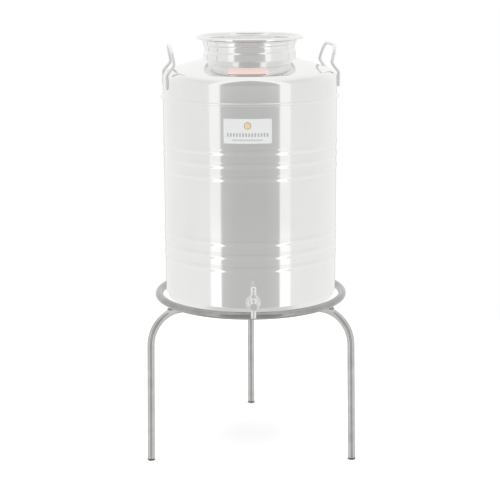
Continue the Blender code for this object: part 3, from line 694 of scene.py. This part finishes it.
def hub_weld(bm, turn, tube_r, hub_r, top_z):
    """The weld round a leg's end on the hub."""
    path = []
    for angle in angles(HUB_WELD_STEPS):
        across = tube_r * math.cos(angle)
        out = math.sqrt(hub_r**2 - across**2) + HUB_WELD_LIFT
        path.append(Vector((out, across, top_z + tube_r * math.sin(angle))))
    return merge(bm, moved(weld_bead(bmesh.new(), path, HUB_WELD_R, 24, loop=True), turn))


def foot_cap(tube_r, head, top):
    """A foot plug: a rounded head under the tube's end and a plain stem inside it."""
    outline = [
        (0.0, 0.5, 0), (4.4, 0.5, 0.4), (5.0, 0.0, 0.4), (tube_r - 0.6, 0.0, 0.8),
        (tube_r + 0.2, head * 0.5, 1.0), (tube_r - 0.1, head, 0.4), (tube_r - 2.2, head, 0),
        (tube_r - 3.0, top, 0), (0.0, top, 0),
    ]
    return revolved(filleted(outline), False, 40)


def make_stand(ring_finish, tube, weld, plastic):
    """Ring, legs, hub, welds and foot plugs."""
    ring = make_ring(ring_finish, weld)
    tube_r = ring[0]
    low, high = box("stand_hub")
    hub_r = half_width("stand_hub")
    hub = [
        (hub_r - HUB_WALL, low.z, 0), (hub_r - 0.5, low.z, 0), (hub_r, low.z + 0.5, 0.4),
        (hub_r, high.z - 0.5, 0.4), (hub_r - 0.5, high.z, 0.4), (hub_r - HUB_WALL + 0.4, high.z, 0.3),
        (hub_r - HUB_WALL, high.z - 0.4, 0),
    ]
    piece("stand_hub_tube", revolved(filleted(hub), steps=96), tube, "stand", ["stand_hub"])

    hub_welds = bmesh.new()
    for side in ("front_left", "front_right", "back"):
        plug = middle("foot_plug_" + side)
        plug_top = box("foot_plug_" + side)[1].z
        leg_low, leg_high = box("leg_" + side)
        turn = turn_of(plug)
        foot_r = plug.xy.length
        top_z = leg_high.z - tube_r
        path, bend_r, bend_z = leg_path(turn, foot_r, leg_low.z, top_z, hub_r)
        leg = sweep(bmesh.new(), path, tube_r, caps=False)
        sweep(leg, path[:2], tube_r - TUBE_WALL, caps=False)
        piece("leg_tube_" + side, leg, tube, "stand", ["leg_" + side])
        ring_weld(turn, bend_r, bend_z, ring, weld, side)
        hub_weld(hub_welds, turn, tube_r, hub_r, top_z)
        cap = moved(foot_cap(tube_r, leg_low.z - FOOT_GAP, plug_top), turn, (foot_r, 0.0, 0.0))
        piece("foot_cap_" + side, cap, plastic, "stand", ["foot_plug_" + side])
    piece("hub_welds", hub_welds, weld, "stand")


# Drum


def faded(away, flat, edge):
    """1 up to the end of a flat, 0 from an edge on, and a cosine's slope between them."""
    if away >= edge:
        return 0.0
    return 0.5 + 0.5 * math.cos(math.pi * max(away - flat, 0.0) / (edge - flat))


def smooth(share):
    """A share with an eased start and end."""
    return share * share * (3.0 - 2.0 * share)


def make_wall(steel, weld):
    """The rolled wall with its two groups of beads and the lengthwise weld at the back."""
    low, high = box("tank_wall")
    middles = [low.z + above for above in BEADS_ABOVE_FOOT]
    heights = [low.z + 0.5, low.z + 1.0, low.z + 4.0, high.z - 40.0, high.z - 4.0, high.z - 1.0, high.z]
    for centre in middles:
        for step in range(-12, 13):
            heights.append(centre + (BEAD_REACH + 0.5) * step / 12)
    plain_low = middles[2] + BEAD_REACH
    plain_high = middles[3] - BEAD_REACH
    for step in range(1, 10):
        heights.append(plain_low + (plain_high - plain_low) * step / 10)
    outer = [Vector((WALL_R - 0.3, low.z))]
    for height in sorted(heights):
        swell = sum(faded(abs(height - centre), BEAD_FLAT, BEAD_REACH) for centre in middles)
        outer.append(Vector((WALL_R + BEAD_HEIGHT * swell, height)))
    piece("drum_wall", revolved(sheet_outline(outer)), steel, "tank", ["tank_wall"])

    back = [Vector((0.0, point.x - WALL_WELD_DEPTH, point.y)) for point in outer[1:-1]]
    piece("drum_wall_weld", sweep(bmesh.new(), back, WALL_WELD_R, 12), weld, "tank")


def make_bottom(steel):
    """The pressed bottom pan: flat below, with a rounded and sloping edge up to the wall."""
    low, high = box("tank_bottom")
    pan_r = half_width("tank_bottom")
    corners = [
        (0.0, low.z, 0), (PAN_CORNER_R, low.z, PAN_ROUNDING), (pan_r, high.z - PAN_SKIRT, 2.0),
        (pan_r, high.z, 0),
    ]
    pan = revolved(sheet_outline(filleted(corners, 16)), closed=False)
    piece("drum_bottom", pan, steel, "tank", ["tank_bottom"])


def make_shoulder(steel):
    """The skirt, the rounded corner and the cone up to the neck, with the rolled seam round its foot."""
    seam_r = half_width("tank_shoulder")
    seam_z = box("tank_shoulder")[0].z + SEAM_HALF
    corners = [
        (WALL_R, seam_z, 0), (WALL_R, seam_z + 6.0, 0), (WALL_R, cone_height(WALL_R), SHOULDER_ROUNDING),
        (NECK_R + 40.0, cone_height(NECK_R + 40.0), 0), (NECK_R + 3.0, cone_height(NECK_R + 3.0), 0),
        (NECK_R + 0.3, NECK_BASE_Z, 0),
    ]
    shoulder = revolved(sheet_outline(filleted(corners, 14)))
    piece("drum_shoulder", shoulder, steel, "tank", ["tank_shoulder"])

    seam = [
        (WALL_R - 0.2, seam_z + 3.4, 0), (WALL_R + 0.8, seam_z + 2.8, 0.8),
        (seam_r, seam_z + SEAM_HALF, 2.6), (seam_r, seam_z - SEAM_HALF, 2.6),
        (WALL_R + 0.9, seam_z - 2.8, 0.8), (WALL_R - 0.2, seam_z - 3.2, 0),
    ]
    piece("drum_seam", revolved(filleted(seam, 8)), steel, "tank")
    ring = sweep(bmesh.new(), circle(NECK_R + 0.5, NECK_BASE_Z), NECK_WELD_R, 12, True)
    piece("neck_weld", ring, steel, "tank")


def groove_depth(turn, height):
    """Depth of the pressed thread: one rising turn that starts and ends at the back."""
    bearing = (turn - FRONT + math.pi) % math.tau - math.pi
    centre = GROOVE_FRONT_Z + GROOVE_LEAD * bearing / math.tau
    fade = smooth(min(1.0, (math.pi - abs(bearing)) / GROOVE_FADE))
    flat, edge = GROOVE_ABOVE if height > centre else GROOVE_BELOW
    return GROOVE_DEPTH * fade * faded(abs(height - centre), flat, edge)


def make_neck(steel):
    """The neck: plain below, a pressed thread, a slightly wider top and a rolled lip."""
    low, high = box("neck_collar")
    groove_low = GROOVE_FRONT_Z - GROOVE_LEAD / 2 - GROOVE_BELOW[1]
    outer = [Vector((NECK_R, height)) for height in (low.z, NECK_BASE_Z, groove_low - 2.0)]
    top = high.z - 2 * LIP_ROLL
    start, end = NECK_WIDENING_Z
    for step in range(NECK_STEPS + 1):
        height = groove_low + (top - groove_low) * step / NECK_STEPS
        share = min(max((height - start) / (end - start), 0.0), 1.0)
        flare = max(height - (top - LIP_FLARE_HEIGHT), 0.0) / LIP_FLARE_HEIGHT
        outer.append(Vector((NECK_R + NECK_WIDENING * smooth(share) + LIP_FLARE * flare**2, height)))
    inner = [Vector((point.x - SHEET, point.y)) for point in outer]
    roll_centre = Vector((half_width("neck_collar") - LIP_ROLL, high.z - LIP_ROLL))
    roll_turns = [math.radians(-100.0 + 250.0 * step / 12) for step in range(13)]
    roll = [roll_centre + Vector((math.cos(turn), math.sin(turn))) * LIP_ROLL for turn in roll_turns]

    def pressed(turn, radius, height):
        return radius - groove_depth(turn, height), height

    neck = revolved(outer + roll + inner[::-1], shape=pressed)
    piece("drum_neck", neck, steel, "tank", ["neck_collar"])


def make_handle(side, bar, weld):
    """One carrying handle of bent round bar with its two foot welds."""
    name = "handle_" + side
    degrees, knee_r, top_r = HANDLES[side]
    turn = math.radians(degrees)
    low, high = box(name)
    feet, knees, top = HANDLE_HALVES
    foot_r = math.sqrt((WALL_R + HANDLE_CLEARANCE + HANDLE_BAR_R) ** 2 - feet**2)
    rising = [
        (foot_r, feet, low.z + HANDLE_TIP[0][0]), (foot_r, feet, HANDLE_BEND_Z),
        (knee_r, knees, HANDLE_KNEE_Z), (top_r, top, high.z - HANDLE_BAR_R),
    ]
    corners = rising + [(radius, -half, height) for radius, half, height in rising[::-1]]
    path = rounded_path(corners, HANDLE_BENDS, HANDLE_BEND_STEPS)
    split = HANDLE_BEND_STEPS + 1
    arch = moved(sweep(bmesh.new(), path[split:-split], HANDLE_BAR_R, BAR_SIDES), turn)
    piece("handle_bar_" + side, arch, bar, "tank", [name])

    tips = bmesh.new()
    for end in (path[: split + 1], path[: -split - 2 : -1]):
        line = [end[0] - Vector((0.0, 0.0, drop)) for drop, share in HANDLE_TIP] + end[1:]
        radii = [HANDLE_BAR_R * share for drop, share in HANDLE_TIP] + [HANDLE_BAR_R] * split
        sweep(tips, line, radii, BAR_SIDES)
    piece("handle_feet_" + side, moved(tips, turn), bar, "tank", mirrored=False)

    welds = bmesh.new()
    start, end = HANDLE_WELD_RUN
    for half in (feet, -feet):
        foot = Vector((foot_r, half, 0.0))
        inward = -foot.normalized()
        across = Vector((-inward.y, inward.x, 0.0))
        for edge in (-HANDLE_WELD_ACROSS, HANDLE_WELD_ACROSS):
            seat = foot + inward * (HANDLE_BAR_R - 0.1) + across * edge
            run = [Vector((seat.x, seat.y, low.z + start + (end - start) * step / 40)) for step in range(41)]
            weld_bead(welds, run, HANDLE_WELD_R, 11)
    piece("handle_welds_" + side, moved(welds, turn), weld, "tank", mirrored=False)


def hexagon(corner_r, angle):
    """The radius of a hexagon at an angle from one of its corners."""
    return corner_r * math.cos(math.pi / 6) / math.cos(angle % (math.pi / 3) - math.pi / 6)


def printed_cell(place, edges, closed):
    """A honeycomb cell of ink round a (turn, radius, height) place on the label. The edges are (size, lift)
    from its outside inwards, and a closed one is an outline."""
    turn, ink_r, height = place
    bm = bmesh.new()
    rings = []
    for size, lift in edges:
        radius = ink_r + lift
        ring = []
        for angle in angles(INK_STEPS):
            reach = hexagon(size, angle)
            across = reach * math.sin(angle) / radius
            ring.append(bm.verts.new(polar(radius, turn + across, height + reach * math.cos(angle))))
        rings.append(ring)
    skin(bm, rings, closed)
    if not closed:
        bm.faces.new(rings[0])
        bm.faces.new(rings[-1])
    return bm


def make_stickers(paper, grey, amber, brown, red):
    """The plain label with blank bars and a honeycomb cell, and the plain strip on the cone."""
    low, high = box("front_label")
    film_r = -low.y - LABEL_DEPTH
    half = half_width("front_label")
    turn = turn_of(middle("front_label"))
    label = bent_plate(bmesh.new(), (film_r, low.z), (film_r, high.z), half, (LABEL_FILM, 0.0), turn, 0.4)
    piece("label_film", label, paper, "tank", ["front_label"])

    ink_r = film_r + INK_LIFT
    bars = bmesh.new()
    for length, rise, thick, blocks in LABEL_LINES:
        lower = (ink_r, low.z + rise - thick / 2)
        upper = (ink_r, low.z + rise + thick / 2)
        width = length / blocks
        for block in range(blocks):
            where = width * (block + 0.5) - length / 2
            bar_turn = turn + where / ink_r
            bent_plate(bars, lower, upper, width * BAR_SHARE, (BAR_INK, 0.0), bar_turn, 0.6, 4, 4)
    piece("label_bars", bars, grey, "tank")

    icon = (turn, ink_r, low.z + CELL_ABOVE_EDGE)
    fill, inside, outside = CELL_SIZES
    honey = printed_cell(icon, ((fill, 0.0), (fill, INK), (0.6 * fill, INK), (0.2 * fill, INK)), False)
    piece("label_honey", honey, amber, "tank")
    cell = printed_cell(icon, ((outside, 0.0), (outside, INK), (inside, INK), (inside, 0.0)), True)
    piece("label_cell", cell, brown, "tank")

    tilt = math.atan(CONE_SLOPE)
    high_edge, low_edge = [(radius, cone_height(radius) + STRIP_LIFT) for radius in STRIP_R]
    step = (math.sin(tilt) * STRIP_FILM, math.cos(tilt) * STRIP_FILM)
    strip_turn = turn_of(middle("shoulder_strip"))
    strip = bent_plate(bmesh.new(), low_edge, high_edge, STRIP_HALF_WIDTH, step, strip_turn, 1.0)
    piece("strip_film", strip, red, "tank", ["shoulder_strip"])


def make_lid(steel, silicone):
    """The dished lid: rolled rim, flange, straight side and floor, and the gasket under the flange."""
    low, high = box("lid_gasket")
    outer_r = half_width("lid_gasket")
    inner_r = outer_r - GASKET_WIDTH
    ring = [
        (inner_r, (low.z + high.z) / 2, 0), (inner_r, low.z, 0.5), (outer_r, low.z, 0.8),
        (outer_r, high.z, 0.8), (inner_r, high.z, 0.5),
    ]
    seal = revolved(filleted(ring))
    piece("lid_seal_ring", seal, silicone, "lid_seal", ["lid_gasket"])

    flange_z = high.z + LID_CLEARANCE
    low, high = box("lid_dish")
    rim_r = half_width("lid_dish")
    wall_r = LID_WALL_R
    step_in, step_out = LID_STEP_R
    top = [
        (0.0, low.z + SHEET + LID_STEP, 0), (step_in, low.z + SHEET + LID_STEP, 8.0),
        (step_out, low.z + SHEET, 8.0), (wall_r - SHEET, low.z + SHEET, 4.0),
        (wall_r - SHEET, flange_z + SHEET, 2.0), (rim_r - 6.4, flange_z + SHEET + 0.5, 0.8),
        (rim_r - 5.8, high.z - 2.4, 0.6), (rim_r - 3.7, high.z, 0.8), (rim_r - 3.1, high.z, 0.8),
        (rim_r, high.z - 2.6, 0.5), (rim_r, high.z - 3.1, 0.4), (rim_r - 0.6, flange_z - 0.2, 0.5),
        (rim_r - 1.8, flange_z - 0.4, 0.4),
    ]
    under = [
        (rim_r - 2.6, flange_z, 0.4), (wall_r, flange_z, 1.0), (wall_r, low.z, 4.6),
        (step_out, low.z, 8.0), (step_in, low.z + LID_STEP, 8.0), (0.0, low.z + LID_STEP, 0),
    ]
    lid = revolved(filleted(top + under, 8), closed=False)
    piece("lid_shell", lid, steel, "lid", ["lid_dish"])


# Tap


def at_valve(bm):
    """Set a shape made about Z on the valve's upright axis."""
    return moved(bm, TAP_TURN, (0.0, -VALVE_OUT, 0.0))


def small(outline, closed=False):
    """One of the tap's small turned shapes."""
    return revolved(filleted(outline), closed, SMALL_STEPS)


def make_tap(plating, silicone, rubber):
    """The tap body, its gaskets and nut, and the turning plug with its lever and cap."""
    front = VALVE_OUT + TAP_FRONT
    out, rim_r, body_r = TAP_FLANGE_OUT, TAP_FLANGE_R, TAP_BODY_R
    body = [
        (TAP_BORE_R, TAP_INNER_OUT, 0), (TAP_SHANK_R, TAP_INNER_OUT, 0.5), (TAP_SHANK_R, out, 0),
        (rim_r - 0.4, out, 0.4), (rim_r, out + 0.6, 0.4), (rim_r, out + 1.6, 0.5),
        (rim_r - 2.4, out + 3.7, 0.4), (rim_r - 3.2, out + 3.0, 0.4), (body_r - 0.2, out + 6.2, 1.2),
        (TAP_NECK_R, out + 8.4, 1.2), (TAP_NECK_R, VALVE_OUT - 13.0, 1.0), (body_r, VALVE_OUT - 11.5, 0.8),
        (body_r, front - 0.9, 0.5), (body_r - 0.7, front, 0.3), (body_r - 1.3, front, 0.2),
        (body_r - 1.6, front - 0.5, 0.2), (0.0, front - 0.5, 0),
    ]
    foot, top = box("tap_body")[0].z, COLLAR_TOP_Z
    upright = [
        (SPOUT_BORE_R, TAP_Z - 6.0, 0), (SPOUT_BORE_R, foot + 0.4, 0.3), (SPOUT_BORE_R + 0.4, foot, 0.3),
        (SPOUT_R - 0.3, foot, 0.3), (SPOUT_R, foot + 0.6, 0.4), (SPOUT_R, TAP_Z - 9.5, 3.0),
        (COLLAR_R, TAP_Z - 5.5, 2.0), (COLLAR_R, top - 5.0, 0.5), (COLLAR_R - 0.5, top - 4.6, 0.4),
        (COLLAR_R - 0.5, top - 3.6, 0.4), (COLLAR_R, top - 3.2, 0.4), (COLLAR_R, top - 0.8, 0.4),
        (COLLAR_R - 0.8, top, 0.3), (COLLAR_R - 1.7, top, 0),
    ]
    casting = merge(laid_outwards(small(body)), at_valve(small(upright)))
    piece("tap_casting", casting, plating, "tank", ["tap_body"], 50.0)

    for name, (near, far, outer_r) in TAP_WASHERS.items():
        washer = [(TAP_HOLE_R, near, 0), (outer_r, near, 0.6), (outer_r, far, 0.6), (TAP_HOLE_R, far, 0)]
        ring = laid_outwards(small(washer, closed=True))
        piece(name.replace("gasket", "washer"), ring, silicone, "tank", [name])
    make_nut(plating)
    make_valve(plating, rubber)


def make_nut(plating):
    """The hexagon lock nut inside the drum, with the chamfered corners of a turned nut."""
    near, far = NUT_OUT
    bm = bmesh.new()
    rings = []
    edges = ((near, NUT_CHAMFER), (near + NUT_CHAMFER, 0.0), (far - NUT_CHAMFER, 0.0), (far, NUT_CHAMFER))
    for out, chamfer in edges:
        ring = []
        for angle in angles(SMALL_STEPS):
            radius = min(hexagon(NUT_R, angle), NUT_R - 0.3) - chamfer
            ring.append(bm.verts.new(polar(radius, angle, out)))
        rings.append(ring)
    for out in (far, near):
        rings.append([bm.verts.new(place) for place in circle(TAP_HOLE_R, out, SMALL_STEPS)])
    skin(bm, rings, closed=True)
    piece("tap_nut", laid_outwards(bm), plating, "tank", ["tap_lock_nut"], 25.0)


def make_valve(plating, rubber):
    """The turning plug, its seal, the lever and the cap."""
    low, high = box("tap_plug")
    top, plug_r, boss_r, hole_r = COLLAR_TOP_Z, PLUG_R, LEVER_BOSS_R, LEVER_HOLE_R
    plug = [
        (0.0, low.z + 6.0, 0), (SPOUT_BORE_R - 0.1, low.z + 6.0, 0), (SPOUT_BORE_R, low.z, 0.3),
        (plug_r, low.z, 0.4), (plug_r, top - 9.5, 0.2), (PLUG_GROOVE_R, top - 9.5, 0.2),
        (PLUG_GROOVE_R, top - 6.5, 0.2), (plug_r, top - 6.5, 0.2), (plug_r, top - 1.0, 0.4),
        (STEM_R, top, 0.3), (STEM_R, high.z, 0.3), (0.0, high.z, 0),
    ]
    piece("valve_plug", at_valve(small(plug)), plating, "tap_valve", ["tap_plug"])

    ring = circle(SEAL_R, middle("tap_plug_seal").z, SMALL_STEPS)
    seal = at_valve(sweep(bmesh.new(), ring, SEAL_THICKNESS_R, 12, True))
    piece("valve_o_ring", seal, rubber, "tap_valve", ["tap_plug_seal"])

    low_z, high_z = LEVER_Z
    boss = [
        (hole_r, low_z, 0), (boss_r - 0.5, low_z, 0.4), (boss_r, low_z + 0.8, 0.5),
        (boss_r, high_z - 0.8, 0.5), (boss_r - 0.6, high_z, 0.4), (hole_r, high_z, 0),
    ]
    lever = at_valve(merge(small(boss, closed=True), lever_arm((low_z + high_z) / 2)))
    piece("valve_lever", lever, plating, "tap_valve", ["tap_lever"], mirrored=False)

    low, high = box("tap_lever_cap")
    cap = [
        (hole_r, low.z, 0), (CAP_R - 0.5, low.z, 0.4), (CAP_R, low.z + 0.9, 0.5),
        (CAP_R, low.z + 4.2, 0.4), (CAP_R - 0.7, low.z + 4.9, 0.4), (CAP_R - 0.7, low.z + 5.9, 0.4),
        (CAP_R, low.z + 6.6, 0.5), (CAP_R, high.z - 2.4, 1.2), (CAP_R - 2.4, high.z, 1.8),
        (0.0, high.z, 0),
    ]
    piece("valve_cap", at_valve(small(cap)), plating, "tap_valve", ["tap_lever_cap"], mirrored=False)


def flattened(value, power):
    """A sine or cosine bent towards 1 and -1, which makes a round section squarer."""
    return math.copysign(abs(value) ** power, value)


def lever_arm(root_z):
    """The lever's arm: a drooping flat bar with rounded edges and a rounded, slightly thicker tip."""
    root_half, tip_half = LEVER_WIDTH
    end_thick, middle_thick = LEVER_THICKNESS
    bm = bmesh.new()
    rings = []
    for index in range(LEVER_STEPS + 1):
        out = LEVER_ROOT + (LEVER_LENGTH - LEVER_ROOT) * index / LEVER_STEPS
        share = out / LEVER_LENGTH
        half = root_half - (root_half - tip_half) * share
        thick = end_thick - (end_thick - middle_thick) * math.sin(math.pi * share)
        into_tip = max(out - (LEVER_LENGTH - LEVER_TIP), 0.0) / LEVER_TIP
        half *= math.sqrt(max(1.0 - into_tip**2, 0.0016))
        thick *= math.sqrt(max(1.0 - into_tip**4, 0.01))
        ring = []
        for angle in angles(BAR_SIDES):
            across = half * flattened(math.cos(angle), 0.55)
            up = thick * flattened(math.sin(angle), 0.7)
            ring.append(bm.verts.new((across, -out, root_z + up - LEVER_DROP * share)))
        rings.append(ring)
    skin(bm, rings)
    bm.faces.new(rings[0])
    bm.faces.new(rings[-1])
    return bm


# Studio


class Sky(Graph):
    """The studio's surround as small steps on two angles in degrees: the bearing either way from the tap's
    side, and the height above the horizon."""

    def __init__(self, world):
        super().__init__(world)
        direction = {"Vector": self.coordinates.outputs["Generated"]}
        x, y, z = (self.node("SeparateXYZ", axis, direction) for axis in "XYZ")
        turn = self.math("ABSOLUTE", self.math("ARCTAN2", x, self.math("MULTIPLY", y, -1.0)))
        self.bearing = self.math("DEGREES", turn)
        self.height = self.math("DEGREES", self.math("ARCSINE", z))

    def graded(self, value, stops):
        """A value changed by (value, result) stops with straight lines between them."""
        low, high = stops[0][0], stops[-1][0]
        greys = [((place - low) / (high - low), (grey, grey, grey)) for place, grey in stops]
        return self.toned(self.ranged(value, 0.0, 1.0, low, high), greys)

    def mixed(self, factor, first, second):
        """The first colour where the factor is 0 and the second where it is 1."""
        return self.node("Mix", "Result", {"Factor": factor, "A": first, "B": second}, data_type="RGBA")


def make_world():
    """A white tent. In front is a darker domed opening with a bright strip round it, at the back a low dim
    gap, and underneath a grey floor. The camera itself sees plain white."""
    world = bpy.data.worlds.new("studio")
    bpy.context.scene.world = world
    sky = Sky(world)
    up = sky.math("MAXIMUM", sky.height, 0.0)
    wide = sky.math("POWER", sky.math("DIVIDE", sky.bearing, OPENING_WIDTH), 2.0)
    tall = sky.math("POWER", sky.math("DIVIDE", up, OPENING_HEIGHT), 2.0)
    dome = sky.math("SQRT", sky.math("ADD", wide, tall))

    lift = sky.graded(sky.height, OPENING_LIFT)
    opening = sky.math("MULTIPLY", sky.graded(dome, OPENING_TONES), lift)
    tones = (STRIP_TONES, SIDE_TONES, BACK_TONES, GAP_TONES, GROUND_TONES)
    strip, sides, back, gap, ground = (sky.graded(sky.height, stops) for stops in tones)
    tent = sky.mixed(sky.graded(sky.bearing, BACK_EDGE), sides, back)
    tent = sky.mixed(sky.graded(sky.bearing, GAP_EDGE), tent, gap)
    tent = sky.mixed(sky.graded(dome, STRIP_EDGE), strip, tent)
    tent = sky.mixed(sky.graded(dome, OPENING_EDGE), opening, tent)
    tent = sky.mixed(sky.graded(sky.height, GROUND_EDGE), ground, tent)

    rays = sky.nodes.new("ShaderNodeLightPath")
    background = sky.nodes["Background"]
    sky.links.new(sky.mixed(rays.outputs["Is Camera Ray"], tent, WHITE), background.inputs["Color"])
    background.inputs["Strength"].default_value = 1.0


def softbox(name, place, tilt, size, energy):
    """A square lamp that lights dull surfaces and isn't mirrored in bright ones."""
    data = bpy.data.lights.new(name, "AREA")
    data.shape = "SQUARE"
    data.size = size
    data.energy = energy
    light = bpy.data.objects.new(name, data)
    light.location = AXIS + Vector(place)
    light.rotation_euler = (math.radians(tilt), 0.0, 0.0)
    light.visible_glossy = False
    light.visible_camera = False
    bpy.context.scene.collection.objects.link(light)


def make_floor():
    """A round pale card, which gives off a faint light so that the shadow on it stays pale."""
    bm = bmesh.new()
    bmesh.ops.create_circle(bm, cap_ends=True, segments=128, radius=FLOOR_R)
    mesh = bpy.data.meshes.new("floor")
    bm.to_mesh(mesh)
    bm.free()
    floor = bpy.data.objects.new("floor", mesh)
    floor.location = AXIS
    bpy.context.scene.collection.objects.link(floor)
    pale = Finish("floor_card", (0.95, 0.95, 0.95), 0.9)
    rough = pale.ranged(pale.noise(8.0), 0.85, 0.95)
    pale.links.new(rough, pale.shader.inputs["Roughness"])
    pale.shader.inputs["Emission Color"].default_value = WHITE
    pale.shader.inputs["Emission Strength"].default_value = FLOOR_GLOW
    mesh.materials.append(pale.material)
    floor.visible_glossy = False


def make_camera():
    """The camera, a little higher than the lid and looking down from the tap's side."""
    data = bpy.data.cameras.new("camera")
    data.sensor_width = 36.0
    data.lens = CAMERA_LENS
    data.shift_x = CAMERA_SHIFT_X
    data.clip_end = 50.0
    camera = bpy.data.objects.new("camera", data)
    place = Matrix.Translation((AXIS.x, AXIS.y - CAMERA_DISTANCE, CAMERA_HEIGHT))
    pitch = Matrix.Rotation(CAMERA_PITCH, 4, "X")
    camera.matrix_world = place @ pitch @ Matrix.Rotation(CAMERA_ROLL, 4, "Z")
    bpy.context.scene.collection.objects.link(camera)
    bpy.context.scene.camera = camera
    bpy.context.scene.view_settings.view_transform = "Standard"


def main():
    """Build every visible piece and the studio."""
    steel = polished_steel()
    bar = bright_bar()
    # The ring's tube gets a darker grey than the legs' tube, which is painted shade from the drum above it.
    ring_tube = satin_tube("ring_satin_painted_shade", RING_GREY_PAINTED_SHADE)
    leg_tube = satin_tube("leg_satin", LEG_GREY)
    browned = ((0.27, 0.25, 0.22), (0.47, 0.46, 0.43))
    polished = ((0.66, 0.64, 0.61), (0.84, 0.84, 0.83))
    cells = (240.0, 5.0, 0.7)
    grey = (0.4, 0.39, 0.36)
    weld = weld_metal("weld_metal", "satin_tube", grey, 0.95, cells, browned, (0.3, 0.5), 1.5e-4)
    cells = (300.0, 4.0, 0.65)
    pale = (0.8, 0.79, 0.77)
    bright_weld = weld_metal("steel_weld", "polished_steel", pale, 0.7, cells, polished, (0.34, 0.48), 8e-5)
    plating = chrome()
    plastic = moulded("foot_plastic", (0.05, 0.042, 0.035), 0.55, 2e-5)
    silicone = moulded("gasket_silicone", (0.84, 0.84, 0.82), 0.5, 1e-5)
    rubber = moulded("seal_rubber", (0.03, 0.03, 0.03), 0.55, 1e-5)
    paper = film("label_film", (0.735, 0.74, 0.735), (0.715, 0.72, 0.72), 0.42)
    grey = film("label_ink", (0.39, 0.395, 0.40), (0.46, 0.465, 0.47), 0.5)
    amber = film("honey_ink", (0.76, 0.59, 0.41), (0.72, 0.55, 0.37), 0.42)
    brown = film("cell_ink", (0.36, 0.27, 0.20), (0.42, 0.32, 0.25), 0.45)
    red = film("strip_red", (0.58, 0.455, 0.435), (0.55, 0.425, 0.405), 0.4, "strip_red")

    make_stand(ring_tube, leg_tube, weld, plastic)
    make_wall(steel, bright_weld)
    make_bottom(steel)
    make_shoulder(steel)
    make_neck(steel)
    for side in HANDLES:
        make_handle(side, bar, bright_weld)
    make_stickers(paper, grey, amber, brown, red)
    make_lid(steel, silicone)
    make_tap(plating, silicone, rubber)
    make_world()
    make_floor()
    softbox("overhead_softbox", (0.0, -0.5, 2.6), -10.0, 2.6, 42.0)
    softbox("front_softbox", (0.0, -3.2, 1.6), 72.0, 2.0, 18.0)
    make_camera()


main()
